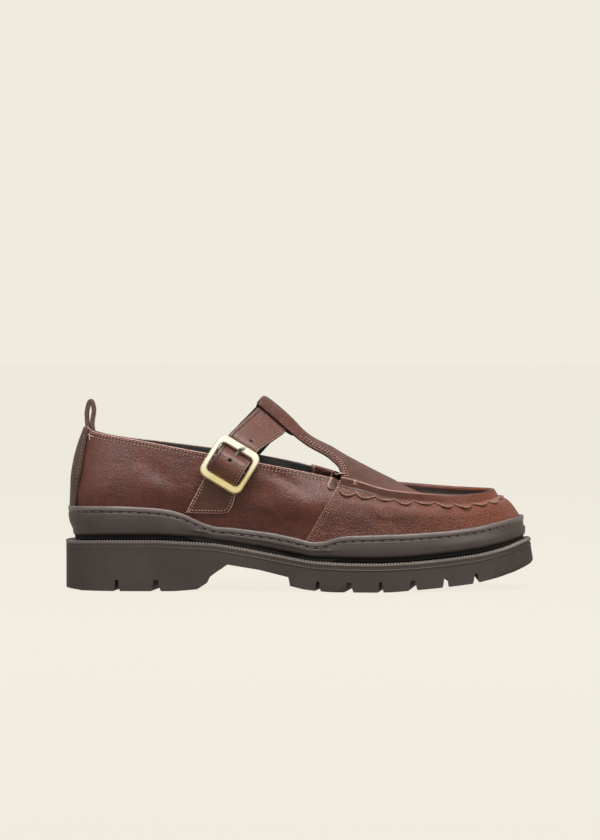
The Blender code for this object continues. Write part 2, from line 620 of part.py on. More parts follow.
def rounded_square(width, length, radius, points=6):
    """(across, along) points round a rectangle with rounded corners."""
    outline = []
    for turn, (sx, sy) in enumerate(((1, 1), (-1, 1), (-1, -1), (1, -1))):
        for angle in np.linspace(0, math.pi / 2, points):
            a = angle + turn * math.pi / 2
            x, y = sx * (width / 2 - radius), sy * (length / 2 - radius)
            outline.append((x + radius * math.cos(a), y + radius * math.sin(a)))
    return np.array(outline)


def make_buckle():
    """A cast frame with bevelled bars, a centre bar pressed between its sides, and a prong."""
    brass = material("buckle brass", (0.80, 0.66, 0.36), 0.28, 1.0)
    middle, across, up, out = buckle_frame_axes()
    bevel, half = 0.0007, BUCKLE_THICKNESS / 2
    outer = rounded_square(BUCKLE_SIZE, BUCKLE_SIZE, BUCKLE_CORNER)
    window = rounded_square(BUCKLE_SIZE - 2 * BUCKLE_SIDE, BUCKLE_SIZE - 2 * BUCKLE_END, BUCKLE_WINDOW_CORNER)
    outer_bevelled = rounded_square(BUCKLE_SIZE - 2 * bevel, BUCKLE_SIZE - 2 * bevel, BUCKLE_CORNER - bevel)
    window_bevelled = rounded_square(
        BUCKLE_SIZE - 2 * (BUCKLE_SIDE - bevel),
        BUCKLE_SIZE - 2 * (BUCKLE_END - bevel),
        BUCKLE_WINDOW_CORNER + bevel,
    )
    section = (
        (outer, -half), (outer, half - bevel), (outer_bevelled, half),
        (window_bevelled, half), (window, half - bevel), (window, -half),
    )
    rows = [
        middle + line[:, :1] * across + line[:, 1:] * up + off * out for line, off in section
    ]
    bm = bmesh.new()
    add_grid(bm, rows, loop_rows=True, loop_columns=True)
    finish(bm, "buckle_frame", brass)
    reach = BUCKLE_SIZE / 2 - BUCKLE_SIDE - GAP
    bar = tube("buckle_centre_bar", [middle - reach * across, middle + reach * across], BUCKLE_BAR_RADIUS, brass)
    bar.data.materials[0] = brass
    tube("buckle_prong", prong_line(), PRONG_RADIUS, brass)


def make_tab():
    """Leather tab on the outer quarter. It widens downwards, and its top end is turned round the centre bar."""
    middle, across, up, out = buckle_frame_axes()
    lift = GAP + TAB_THICKNESS / 2 + 0.0003
    ends = np.array(TAB)
    rear = np.column_stack((ends[:, 0], np.zeros(len(TAB)), ends[:, 1]))
    front = np.column_stack((ends[:, 2], np.zeros(len(TAB)), ends[:, 3]))
    rows = [laid_on_wall(row, -1, lift) for row in across_strip((rear + front) / 2, (rear - front) / 2)]
    around_bar = BUCKLE_BAR_RADIUS + GAP + TAB_THICKNESS / 2
    turns = [math.cos(a) * up + math.sin(a) * out for a in np.radians((-90, -45, 0, 45, 90))]
    path = [middle + around_bar * turn for turn in turns] + [middle + around_bar * out - 0.0020 * up]
    narrow = BUCKLE_SIZE / 2 - BUCKLE_SIDE - 0.0008
    rows += across_strip(path, [-across * narrow] * len(path))
    leather = material("tab leather", (0.120, 0.050, 0.036), 0.45)
    ribbon("buckle_tab", rows, TAB_THICKNESS, leather)


def make_backstrap():
    """A strip up the back seam, turned over above the topline as a pull loop, and sewn down inside."""
    lift = GAP + BACKSTRAP_THICKNESS / 2 + 0.0001
    up_the_back = [p - (lift, 0, 0) for p in wall[RIM_ROW + 1 : -1, 0]]
    loop = [np.array((x, 0.0, z)) for x, z in PULL_LOOP]
    path = np.array(up_the_back + loop)
    half = np.array((0.0, BACKSTRAP_WIDTH / 2, 0.0))
    leather = material("backstrap leather", (0.075, 0.045, 0.035), 0.55)
    ribbon("backstrap", across_strip(path, [half] * len(path), 2), BACKSTRAP_THICKNESS, leather)


clear_scene()
shoe = new_collection("t_bar_shoe")
cutters = new_collection("cutters")
make_outsole()
make_rand()
make_insole()
make_upper()
make_moc_ridge()
make_strap()
make_tab()
make_buckle()
make_backstrap()
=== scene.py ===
import math

import bmesh
import bpy
import numpy as np
from mathutils import Matrix, Vector
from mathutils.bvhtree import BVHTree


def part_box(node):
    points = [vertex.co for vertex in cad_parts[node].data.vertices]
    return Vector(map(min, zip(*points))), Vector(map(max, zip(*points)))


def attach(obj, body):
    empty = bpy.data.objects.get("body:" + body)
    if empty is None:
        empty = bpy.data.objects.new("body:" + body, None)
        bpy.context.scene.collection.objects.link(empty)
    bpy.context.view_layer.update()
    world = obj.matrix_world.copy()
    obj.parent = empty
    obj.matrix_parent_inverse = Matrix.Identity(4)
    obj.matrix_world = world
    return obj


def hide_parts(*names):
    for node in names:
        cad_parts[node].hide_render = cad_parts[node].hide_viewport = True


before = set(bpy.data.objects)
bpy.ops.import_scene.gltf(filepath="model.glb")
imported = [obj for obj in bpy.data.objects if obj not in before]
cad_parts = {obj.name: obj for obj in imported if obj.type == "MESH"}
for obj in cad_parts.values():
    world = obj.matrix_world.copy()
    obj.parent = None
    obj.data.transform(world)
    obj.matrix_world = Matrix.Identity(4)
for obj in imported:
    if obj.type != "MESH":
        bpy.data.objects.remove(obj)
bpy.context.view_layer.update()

# ---------------------------------------------------------------- studio
# A pale seamless floor that runs into a backdrop of the same cream, and a long lens at the shoe's outer side.
# A broad soft box hangs overhead, others stand at the heel's side, the toe's side and behind, and a small one
# is there for the buckle to mirror.


def linear(code):
    """A colour given as sRGB hex, as the linear RGBA that shaders and lights take."""
    parts = [int(code[i : i + 2], 16) / 255 for i in (1, 3, 5)]
    return (*(p / 12.92 if p <= 0.04045 else ((p + 0.055) / 1.055) ** 2.4 for p in parts), 1.0)


def add(tree, kind, inputs=None, **settings):
    """Adds a shader node. inputs gives each socket a value, or an output to link, or a node for its first."""
    node = tree.nodes.new("ShaderNode" + kind)
    for name, value in settings.items():
        setattr(node, name, value)
    for name, value in (inputs or {}).items():
        if isinstance(value, bpy.types.Node):
            value = next(output for output in value.outputs if output.enabled)
        if isinstance(value, bpy.types.NodeSocket):
            tree.links.new(value, node.inputs[name])
        else:
            node.inputs[name].default_value = value
    return node


CREAM = "#EFEBDE"
STUDIO_LIGHT = 0.42  # share of the cream's brightness that the backdrop and floor throw on the shoe
FLOOR_SHADE = 0.035  # share of the floor that takes real light and shadow
FLOOR_GLOW = 1.005  # makes up for that share, so that the floor meets the backdrop with no line
FLOOR_RADIUS = 60.0
CAMERA, AIM = Vector((0.0, -2.6, 0.150)), Vector((0.0, 0.0, 0.10766))
VIEW_HEIGHT = 0.5384  # of the picture, at the shoe
LIT = Vector((0, 0, 0.06))  # the point that every light faces

scene = bpy.context.scene
scene.view_settings.view_transform = "Standard"


def stand(name, data, place, towards):
    """Puts a camera or a light in its place, facing a point."""
    made = bpy.data.objects.new(name, data)
    scene.collection.objects.link(made)
    made.location = place
    made.rotation_mode = "QUATERNION"
    made.rotation_quaternion = (towards - Vector(place)).to_track_quat("-Z", "Y")
    return made


def shine(tree, to_camera):
    """How strongly the cream shines: this much to the camera, and the studio's share onto the shoe."""
    seen = add(tree, "LightPath").outputs["Is Camera Ray"]
    return add(tree, "MapRange", {"Value": seen, "To Min": STUDIO_LIGHT, "To Max": to_camera})


scene.camera = stand("camera", bpy.data.cameras.new("camera"), CAMERA, AIM)
scene.camera.data.lens = scene.camera.data.sensor_width * (AIM - CAMERA).length / VIEW_HEIGHT
scene.camera.data.clip_end = 100.0

scene.world = bpy.data.worlds.new("cream backdrop")
scene.world.use_nodes = True
tree = scene.world.node_tree
tree.nodes.clear()
backdrop = add(tree, "Background", {"Color": linear(CREAM), "Strength": shine(tree, 1.0)})
add(tree, "OutputWorld", {"Surface": backdrop})

floor_paint = bpy.data.materials.new("cream studio floor")
floor_paint.use_nodes = True
tree = floor_paint.node_tree
tree.nodes.clear()
glow = add(tree, "Emission", {"Color": linear(CREAM), "Strength": shine(tree, FLOOR_GLOW)})
matt = add(tree, "BsdfDiffuse", {"Color": linear(CREAM)})
add(tree, "OutputMaterial", {"Surface": add(tree, "MixShader", {0: FLOOR_SHADE, 1: glow, 2: matt})})

bm = bmesh.new()
bmesh.ops.create_circle(bm, cap_ends=True, segments=64, radius=FLOOR_RADIUS)
floor_mesh = bpy.data.meshes.new("floor")
bm.to_mesh(floor_mesh)
bm.free()
floor_mesh.materials.append(floor_paint)
floor = bpy.data.objects.new("floor", floor_mesh)
scene.collection.objects.link(floor)

SOFT_BOXES = (
    # name, place, width, height, watts
    ("overhead", (0.05, -0.55, 1.25), 1.3, 0.8, 19.5),
    ("heel side", (-1.35, -0.75, 0.65), 0.9, 1.1, 4.3),
    ("toe side", (1.35, -0.95, 0.60), 0.8, 1.0, 8.5),
    ("behind", (0.10, 1.10, 1.00), 1.4, 0.6, 3.5),
    ("card in the buckle", (0.12, -1.55, 0.70), 0.5, 0.3, 0.9),
)
for name, place, width, height, watts in SOFT_BOXES:
    light = bpy.data.lights.new(name, "AREA")
    light.shape, light.size, light.size_y, light.energy = "RECTANGLE", width, height, watts
    stand(name, light, place, LIT)

# ---------------------------------------------------------------- lasted upper, taken from the frame
# The upper's outer skin runs in rows from its foot to its top, with a column every few millimetres round the
# last. The leather panels, the lining, the rand and the sole's lip are all cut to these rows.

MM = 0.001
WALL_ROWS = 10  # from the foot to the top
HEEL_Y = 1.6 * MM  # of the heel's middle


def merged(name):
    """A copy of a CAD node's mesh, with its loose triangles joined again."""
    bm = bmesh.new()
    bm.from_mesh(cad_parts[name].data)
    bmesh.ops.remove_doubles(bm, verts=bm.verts, dist=2e-5)
    bmesh.ops.join_triangles(
        bm, faces=bm.faces, angle_face_threshold=0.9, angle_shape_threshold=1.2, cmp_sharp=False
    )
    bm.normal_update()
    return bm


def widest_side(bm, limit):
    """The faces of the widest side of a shell, which meet at less than limit."""
    sides, found = [], set()
    for face in bm.faces:
        if face in found:
            continue
        side, ahead = [], [face]
        found.add(face)
        while ahead:
            side.append(ahead.pop())
            for edge in side[-1].edges:
                if len(edge.link_faces) == 2 and edge.calc_face_angle() < limit:
                    fresh = [f for f in edge.link_faces if f not in found]
                    found.update(fresh)
                    ahead.extend(fresh)
        sides.append(side)
    return max(sides, key=lambda side: sum(f.calc_area() for f in side))


def rounds(bm):
    """The open edges as closed lines of vertices."""
    left, made = {edge for edge in bm.edges if edge.is_boundary}, []
    while left:
        start, at = left.pop().verts
        line = [start]
        while at is not start:
            line.append(at)
            edge = next(e for e in at.link_edges if e in left)
            left.discard(edge)
            at = edge.other_vert(at)
        made.append(line)
    return made


def place_along(line, point):
    """Where along the closed line a point lies, as a count of its points."""
    nearest = int(np.argmin(((line - point) ** 2).sum(axis=1)))
    ahead = line[(nearest + 1) % len(line)] - line[nearest - 1]
    return (nearest + 0.5 + float((point - line[nearest]) @ ahead) / float(ahead @ ahead)) % len(line)


skin = merged("upper")
outer = set(widest_side(skin, math.radians(55)))
bmesh.ops.delete(skin, geom=[f for f in skin.faces if f not in outer], context="FACES")
foot = min(rounds(skin), key=lambda line: sum(v.co.z for v in line) / len(line))
start = min(range(len(foot)), key=lambda i: foot[i].co.x + abs(foot[i].co.y - HEEL_Y))
foot = foot[start:] + foot[:start]
if foot[5].co.y > HEEL_Y:
    foot = [foot[0]] + foot[:0:-1]
rows, free = [foot], set(skin.verts) - set(foot)
for _ in range(WALL_ROWS):
    line = np.array([v.co for v in rows[-1]])
    above = {e.other_vert(v) for v in rows[-1] for e in v.link_edges} & free
    free -= above
    rows.append(sorted(above, key=lambda v: place_along(line, np.array(v.co))))
wall = np.array([[v.co for v in row] for row in rows])  # row, column, xyz

# ---------------------------------------------------------------- outsole
# One moulding of dark brown EVA and rubber: matt, with a faint mottle and the fine tooth of the mould. Its
# edge is finished with a lip whose top is pinked, which is moulded with it. The lip's crest is painted paler
# as a highlight.

MOTTLE = 26 * MM
MOULD_TOOTH = 0.5 * MM


def through(points, steps, closed=False):
    """Points on the smooth curve through the given ones, with so many steps from each to the next."""
    p = np.asarray(points, float)
    ends = (p[-1:], p[:2]) if closed else (2 * p[:1] - p[1:2], 2 * p[-1:] - p[-2:-1])
    p = np.concatenate((ends[0], p, ends[1]))
    a, b, c, d = (q[:, None] for q in (p[:-3], p[1:-2], p[2:-1], p[3:]))
    t = (np.arange(steps) / steps).reshape((1, -1) + (1,) * (p.ndim - 1))
    curve = b + 0.5 * t * (c - a + t * (2 * a - 5 * b + 4 * c - d + t * (3 * (b - c) + d - a)))
    curve = curve.reshape((-1,) + p.shape[1:])
    return curve if closed else np.concatenate((curve, p[-2:-1]))


def unit(vectors):
    return vectors / np.linalg.norm(vectors, axis=-1, keepdims=True)


def level_normals(ahead):
    """Level directions to the right of the directions ahead: round the shoe, they point away from it."""
    return unit(np.column_stack((ahead[:, 1], -ahead[:, 0], np.zeros(len(ahead)))))


def plan_outward(line):
    """Level directions pointing away from a closed line round the shoe."""
    return level_normals(np.roll(line, -1, axis=0) - np.roll(line, 1, axis=0))


def evenly(line, spacing, closed=False):
    """A line's rows at even spacing. The first three columns are its points, and the others go with them."""
    line = np.vstack((line, line[:1])) if closed else np.asarray(line)
    at = np.concatenate(([0.0], np.cumsum(np.linalg.norm(np.diff(line[:, :3], axis=0), axis=1))))
    places = np.linspace(0, at[-1], int(round(at[-1] / spacing)) + 1)
    made = np.column_stack([np.interp(places, at, column) for column in line.T])
    return made[:-1] if closed else made


def ramp(values, start, end):
    """From 0 at the start to 1 at the end."""
    return np.clip((values - start) / (end - start), 0, 1)


def sheet(rows, closed=False):
    """A bmesh grid laid through rows of points. A closed one is joined where its columns meet."""
    rows = np.asarray(rows)
    if closed:
        rows = np.concatenate((rows, rows[:, :1]), axis=1)
    bm = bmesh.new()
    bmesh.ops.create_grid(
        bm, x_segments=rows.shape[1] - 1, y_segments=rows.shape[0] - 1, size=1.0, calc_uvs=True
    )
    for vert, point in zip(bm.verts, rows.reshape(-1, 3)):
        vert.co = point
    if closed:
        bmesh.ops.remove_doubles(bm, verts=bm.verts, dist=1e-6)
    bm.normal_update()
    return bm


def paint(faces, number):
    """Gives faces the piece's material of this number."""
    for face in faces:
        face.material_index = number


def piece(bm, name, materials, stands_for=(), thickness=0.0, bevel=0.0, rim=0, smooth=40.0):
    """Makes a bmesh a piece of the shoe. A sheet's thickness goes inwards; rim is its edge's material."""
    mesh = bpy.data.meshes.new(name)
    bm.to_mesh(mesh)
    bm.free()
    mesh.shade_smooth()
    if not thickness:
        mesh.set_sharp_from_angle(angle=math.radians(smooth))
    for finish in materials:
        mesh.materials.append(finish)
    obj = bpy.data.objects.new(name, mesh)
    scene.collection.objects.link(obj)
    if thickness:
        leaf = obj.modifiers.new("thickness", "SOLIDIFY")
        leaf.thickness, leaf.offset, leaf.use_even_offset = thickness, -1.0, False
        leaf.use_rim, leaf.material_offset_rim = True, rim
    if bevel:
        edge = obj.modifiers.new("soft edge", "BEVEL")
        edge.width, edge.segments, edge.limit_method, edge.angle_limit = bevel, 2, "ANGLE", math.radians(50)
    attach(obj, "root")
    if stands_for:
        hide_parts(*stands_for)


def solid_finish(name, colour, roughness, **sockets):
    """A Principled material, its node tree and its shader. sockets are its even values, set on the shader."""
    made = bpy.data.materials.new(name)
    made.use_nodes = True
    shader = made.node_tree.nodes["Principled BSDF"]
    shader.inputs["Base Color"].default_value = linear(colour)
    shader.inputs["Roughness"].default_value = roughness
    for socket, value in sockets.items():
        shader.inputs[socket.replace("_", " ")].default_value = value
    return made, made.node_tree, shader


def drive(shader, colour, bump, gloss=None):
    """Links patterns to a shader's colour, its normal and, where it varies, its roughness."""
    links = shader.id_data.links
    links.new(colour.outputs[2], shader.inputs["Base Color"])
    links.new(bump.outputs[0], shader.inputs["Normal"])
    if gloss:
        links.new(gloss.outputs[0], shader.inputs["Roughness"])


def moulded_rubber(name, brown, grey, roughness, depth):
    """Rubber straight from the mould: two close shades in soft clouds, and a fine tooth of this depth."""
    made, tree, shader = solid_finish(name, brown, roughness, IOR=1.5)
    place = add(tree, "TexCoord").outputs["Object"]
    clouds = add(tree, "TexNoise", {"Vector": place, "Scale": 1 / MOTTLE, "Detail": 3.0, "Roughness": 0.5})
    shade = add(tree, "MapRange", {"Value": clouds, "From Min": 0.35, "From Max": 0.65})
    colour = add(tree, "Mix", {0: shade, 6: linear(brown), 7: linear(grey)}, data_type="RGBA")
    fine = add(tree, "TexNoise", {"Vector": place, "Scale": 1 / MOULD_TOOTH, "Detail": 2.0})
    bump = add(tree, "Bump", {"Height": fine, "Strength": 0.5, "Distance": depth})
    gloss = add(tree, "MapRange", {"Value": clouds, "To Min": roughness - 0.06, "To Max": roughness + 0.06})
    drive(shader, colour, bump, gloss)
    return made


outsole_rubber = moulded_rubber("moulded outsole rubber", "#3A302D", "#403733", 0.62, 0.05 * MM)
TOE_RAKE = 2.2 * MM  # how far the sole's edge leans back at the toe, from its foot to its top
TOE_CORNER = 2.2 * MM  # radius of the tread's rounded corner, ahead of the last notch
moulding = merged("outsole")
for vert in moulding.verts:
    vert.co.x -= TOE_RAKE * ramp(vert.co.x, 0.105, 0.140) * ramp(vert.co.z, 0.019, 0.032)
toe_corner = [
    edge for edge in moulding.edges
    if edge.is_manifold and edge.calc_face_angle() > math.radians(50)
    and all(vert.co.x > 0.126 and vert.co.z < 0.024 for vert in edge.verts)
]
bmesh.ops.bevel(
    moulding, geom=toe_corner, offset=TOE_CORNER, segments=3, profile=0.5, affect="EDGES", material=-1,
    clamp_overlap=False,
)
moulding.normal_update()
tread = BVHTree.FromBMesh(moulding)
piece(
    moulding, "outsole_moulding", [outsole_rubber], ["outsole"], bevel=0.4 * MM, smooth=15
)

LIP_PITCH, LIP_STEPS = 1.9 * MM, 6  # of the pinking, and mesh columns to one tooth
TOOTH_RISE, NOTCH = 0.85 * MM, 0.5 * MM  # how far each tooth stands up, and how far in each notch goes
LIP_SECTION = (
    # out, up, tooth: millimetres from the sole's top edge, and how much of the pinking the point takes
    (-0.30, -5.00, 0.0), (0.05, -4.80, 0.0), (0.34, -4.45, 0.0), (0.36, -4.15, 0.0), (0.10, -3.85, 0.0),
    (-0.20, -3.60, 0.0), (-0.60, -3.20, 0.0), (-0.85, -2.55, 0.0), (-0.65, -2.05, 0.0), (0.15, -1.75, 0.0),
    (0.50, -1.40, 0.3), (0.42, -1.00, 0.7), (0.00, -0.60, 1.0), (-0.60, -0.42, 1.0), (-1.30, -0.50, 0.6),
    (-1.90, -0.90, 0.0),
)
CREST_FROM = 9  # the crest, painted paler as a highlight, begins at this point of the section
LIP_TOE_ROUND = 1.3 * MM
BELOW_LEDGE, ON_LEDGE = 4 * MM, 2.6 * MM  # where the sole is felt for: its side, and the top of its ledge

round_foot = through(wall[0], 8, closed=True)
edge_rows = []
for point, out in zip(round_foot, plan_outward(round_foot)):
    side = tread.ray_cast(Vector(point + out * 30 * MM - (0, 0, BELOW_LEDGE)), Vector(-out))[0]
    ledge = tread.ray_cast(side - Vector(out) * ON_LEDGE + Vector((0, 0, 0.1)), Vector((0, 0, -1)))[0]
    edge_rows.append((side.x, side.y, ledge.z))
edge_rows = np.array(edge_rows)
for _ in range(3):
    edge_rows = (np.roll(edge_rows, 1, axis=0) + 2 * edge_rows + np.roll(edge_rows, -1, axis=0)) / 4
sole_edge = evenly(edge_rows, LIP_PITCH / LIP_STEPS, closed=True)
sole_edge = sole_edge[: len(sole_edge) // LIP_STEPS * LIP_STEPS]
away = plan_outward(sole_edge)
teeth = np.abs(np.sin(math.pi * (np.arange(len(sole_edge)) % LIP_STEPS / LIP_STEPS)))
toe_round = LIP_TOE_ROUND * ramp(sole_edge[:, 0], 0.12, 0.14)
flatter_at_heel = 0.35 + 0.65 * ramp(sole_edge[:, 0], -0.09, 0.01)
standing = np.where(sole_edge[:, 1] < 0, flatter_at_heel, 0.8)
lip_rows = []
for out, up, tooth in LIP_SECTION:
    sideways = out * MM * standing - NOTCH * tooth * (1 - teeth) - toe_round * max(0.0, 1 + up / 2.2) ** 2
    lift = up * MM + TOOTH_RISE * tooth * teeth
    lip_rows.append(sole_edge + away * sideways[:, None] + np.outer(lift, (0, 0, 1)))
lip_rubber = moulded_rubber("moulded lip rubber", "#3A302D", "#413834", 0.5, 0.04 * MM)
crest_highlight_rubber = moulded_rubber("crest rubber with painted highlight", "#665C56", "#736963", 0.32, 0.03 * MM)
lip = sheet(lip_rows, closed=True)
paint(lip.faces[CREST_FROM * len(sole_edge) :], 1)
piece(lip, "outsole_lip", [lip_rubber, crest_highlight_rubber], smooth=180)

# ---------------------------------------------------------------- rand
# A satin rubber foxing moulded in one with its bead: it stands on the outsole's ledge with its foot tucked
# in, and a row of long dark stitches lies in the groove under the bead. The tucked foot and the groove are
# painted near black as shade, and the bead is painted paler as a highlight.

RAND_FACE = 2.1 * MM  # from the upper's skin to the rand's face
RAND_FOOT_DROP = 0.3 * MM  # of the rand's foot, below the upper's
TOE_SWELL = 1.5 * MM  # the rand's foot stands out this much further round the toe
BULGE = 0.9 * MM  # of the face between foot and bead
RAND_FOOT = (
    # out, up: millimetres from the foot of the face
    (-3.4, 0.0), (-3.4, 1.1), (-3.2, 2.2), (-1.8, 2.7), (-1.0, 3.2), (-0.48, 3.9), (-0.16, 4.9), (0.0, 6.2),
)
UNLIT_ROWS = 3  # of the foot, which no light reaches
RAND_BEAD = (
    # out, up: millimetres from the top of the face
    (0.05, -6.2), (0.06, -5.0), (0.00, -4.55), (-0.45, -4.25), (-0.60, -3.75), (-0.50, -3.25), (-0.05, -2.95),
    (0.28, -2.55), (0.46, -1.85), (0.46, -1.10), (0.22, -0.40), (-0.25, -0.02), (-0.90, 0.10), (-1.60, 0.00),
    (-2.1, -0.40), (-2.1, -3.0),
)
BEAD_FROM = 7  # the bead's paler rubber, a painted highlight, begins at this row of the section above
foot_line = round_foot - (0, 0, RAND_FOOT_DROP)
rim_line = through(wall[1], 8, closed=True)
out_foot, out_rim = plan_outward(foot_line), plan_outward(rim_line)
toe_swell = TOE_SWELL * ramp(foot_line[:, :1], 0.112, 0.140)
foot_line = foot_line + out_foot * (RAND_FACE + toe_swell)
rim_line = rim_line + out_rim * (RAND_FACE + 0.3 * toe_swell)
room = (rim_line - foot_line)[:, 2:] / MM
room = np.clip((room - 6.4) / 6.4, 0.45, 1.0)  # the foot is lower where the rand is
face_middle = (foot_line + rim_line) / 2 + (out_foot + out_rim) / 2 * BULGE * (room - 0.3)


def from_line(line, out, section, stretch=1.0):
    """Rows along a line, at each out and up of a section in millimetres. Stretch scales up, all along it."""
    return [line + out * o * MM + (0, 0, u * MM) * (stretch * np.ones((len(line), 1))) for o, u in section]


narrow = 1 - 0.6 * out_foot[:, :1] ** 2  # the recess is shallower round the heel and the toe
rand_rows = from_line(foot_line, out_foot * narrow, RAND_FOOT, room) + [face_middle]
rand_rows += from_line(rim_line, out_rim * narrow, RAND_BEAD)
rand_rubber = moulded_rubber("satin rand rubber", "#473D3A", "#4E4542", 0.42, 0.03 * MM)
bead_highlight_rubber = moulded_rubber("bead rubber with painted highlight", "#6B605D", "#776C69", 0.24, 0.03 * MM)
# Painted shade: a near black rubber for the rand's unlit foot, the groove under the rand's stitches and the
# strap's holes.
painted_shade_black, _, _ = solid_finish("unlit recess rubber", "#15100F", 0.9)
rand = sheet(rand_rows, closed=True)
paint(rand.faces[: UNLIT_ROWS * len(foot_line)], 1)
paint(rand.faces[(len(RAND_FOOT) + BEAD_FROM) * len(foot_line) :], 2)
piece(rand, "rand_foxing", [rand_rubber, painted_shade_black, bead_highlight_rubber], ["rand"], smooth=70)

SHADE_STRIP_WIDTH = 1.35  # of half the painted shade strip under a row of stitches, in thread radii
THREAD_FLATNESS = 0.8


def sew(name, line, pitch, length, radius, finish, shade_strip=None):
    """A row of stitches, one piece, with its pitch, their length and the thread's radius in millimetres. The
    line has points and the directions out of the leather. A shade strip is a dark strip under the thread,
    painted shade of the crease it lies in."""
    stations = evenly(line, pitch * MM)
    if shade_strip:
        fine = evenly(line, pitch * MM / 3)
        ahead = unit(np.gradient(fine[:, :3], axis=0))
        aside = unit(np.cross(fine[:, 3:], ahead)) * radius * MM * SHADE_STRIP_WIDTH
        bm = sheet((fine[:, :3] + aside, fine[:, :3] - aside))
        bmesh.ops.reverse_faces(bm, faces=bm.faces)
        paint(bm.faces, 1)
    else:
        bm = bmesh.new()
    for row, along in zip((stations[1:] + stations[:-1]) / 2, np.diff(stations[:, :3], axis=0)):
        along, out = Vector(along).normalized(), Vector(row[3:]).normalized()
        side = out.cross(along).normalized()
        axes = along * length * MM / 2, side * radius * MM, along.cross(side) * radius * MM * THREAD_FLATNESS
        turned = Matrix.Translation(row[:3]) @ Matrix(axes).transposed().to_4x4()
        turned @= Matrix.Rotation(math.pi / 2, 4, "Y")
        bmesh.ops.create_uvsphere(bm, u_segments=8, v_segments=4, radius=1.0, matrix=turned)
    piece(bm, name, [finish, shade_strip] if shade_strip else [finish], smooth=180)


PLY = 2.2 * MM  # drawn several times coarser than a real thread's twist, which would not show


def thread(name, colour, roughness=0.6):
    """Bonded polyester thread: three plies twisted, so it shows as fine slanting bands of light and shade."""
    made, tree, shader = solid_finish(name, colour, roughness, Sheen_Weight=0.3)
    place = add(tree, "TexCoord").outputs["Object"]
    bands = {"Vector": place, "Scale": 1 / PLY, "Distortion": 1.5}
    ply = add(tree, "TexWave", bands, bands_direction="DIAGONAL").outputs["Fac"]
    light = linear(colour)
    deep = (*(0.55 * c for c in light[:3]), 1.0)
    mixed = add(tree, "Mix", {0: ply, 6: deep, 7: light}, data_type="RGBA")
    drive(shader, mixed, add(tree, "Bump", {"Height": ply, "Strength": 0.4, "Distance": 0.05 * MM}))
    return made


rand_thread = thread("plum rand thread", "#75645F", 0.45)
groove = rim_line + out_rim * -0.30 * MM - (0, 0, 3.75 * MM)
groove = np.column_stack((np.vstack((groove, groove[:1])), np.vstack((out_rim, out_rim[:1]))))
sew("rand_stitches", groove, 6.1, 5.7, 0.40, rand_thread, painted_shade_black)

# ---------------------------------------------------------------- leather of the upper
# Pull-up cowhide, drum dyed reddish brown, waxed and burnished: a fine pebbled grain with darker valleys,
# soft clouds of light and dark where the wax has moved, a warm toe, and a satin gloss that breaks up on the
# grain. Where it faces up, a paler colour is painted on as a highlight.

GRAIN = 1.35 * MM  # somewhat coarser than the hide's own, so that it shows
CLOUDS, PATCHES, FOLDS, FIBRES = 30 * MM, 7 * MM, 5 * MM, 1.2 * MM
FOLD_DEPTH = 0.7 * MM
TOE_X = 0.085  # the burnished warm toe begins here
TOE_BURNISH = "#803E22"
PAINTED_UPWARD_HIGHLIGHT = "#95736A"  # painted highlight: a paler colour where the leather faces up, standing in for the overhead light's sheen


def leather(name, mid, warm, dark, grain_depth, roughness, coat=0.12, ior=1.5, painted_highlight=0.3):
    """Waxed hide: three close browns, a pebbled grain, and a painted highlight, paler where it faces up."""
    made, tree, shader = solid_finish(name, mid, roughness, IOR=ior, Coat_Weight=coat, Coat_Roughness=0.30)
    place = add(tree, "TexCoord").outputs["Object"]
    pebbles = add(tree, "TexVoronoi", {"Vector": place, "Scale": 1 / GRAIN}, feature="SMOOTH_F1")
    fine = add(tree, "TexVoronoi", {"Vector": place, "Scale": 2.3 / GRAIN}, feature="F1")
    pores = add(tree, "Math", {0: pebbles, 1: fine}, operation="ADD")
    drawn = add(tree, "Mapping", {"Vector": place, "Scale": (0.35, 1.0, 1.0), "Rotation": (0.0, 0.5, 0.0)})
    folds = add(tree, "TexNoise", {"Vector": drawn, "Scale": 1 / FOLDS, "Detail": 4.0, "Roughness": 0.6})
    clouds = add(tree, "TexNoise", {"Vector": place, "Scale": 1 / CLOUDS, "Detail": 3.0, "Roughness": 0.55})
    patch = add(tree, "TexNoise", {"Vector": place, "Scale": 1 / PATCHES, "Detail": 3.0, "Roughness": 0.6})
    cloudy = add(tree, "MapRange", {"Value": clouds, "From Min": 0.38, "From Max": 0.62})
    patchy = add(tree, "MapRange", {"Value": patch, "From Min": 0.35, "From Max": 0.75, "To Max": 0.6})
    valley = add(tree, "MapRange", {"Value": pores, "From Min": 0.5, "From Max": 1.1, "To Max": 0.5})
    # Painted highlight: the paler colour is mixed in where the surface faces up.
    upwards = add(tree, "SeparateXYZ", {0: add(tree, "NewGeometry").outputs["Normal"]}).outputs["Z"]
    facing_up = add(tree, "MapRange", {"Value": upwards, "From Min": 0.10, "From Max": 0.60, "To Max": painted_highlight})
    highlight_share = add(tree, "Math", {0: facing_up, 1: patch}, operation="MULTIPLY")
    x = add(tree, "SeparateXYZ", {0: place})
    toe_from, toe_full = TOE_X - 0.03, TOE_X + 0.04
    at_toe = add(tree, "MapRange", {"Value": x, "From Min": toe_from, "From Max": toe_full, "To Max": 0.8})
    colour = linear(mid)
    layers = (cloudy, warm), (patchy, dark), (valley, dark), (highlight_share, PAINTED_UPWARD_HIGHLIGHT), (at_toe, TOE_BURNISH)
    for share, over in layers:
        mixed = add(tree, "Mix", {0: share, 6: colour, 7: linear(over)}, data_type="RGBA")
        colour = mixed.outputs[2]
    grain = add(tree, "Bump", {"Height": pores, "Strength": 1.0, "Distance": -grain_depth})
    folded = add(tree, "Bump", {"Height": folds, "Distance": FOLD_DEPTH, "Strength": 0.6, "Normal": grain})
    gloss = add(tree, "MapRange", {"Value": patch, "To Min": roughness - 0.10, "To Max": roughness + 0.10})
    drive(shader, mixed, folded, gloss)
    return made


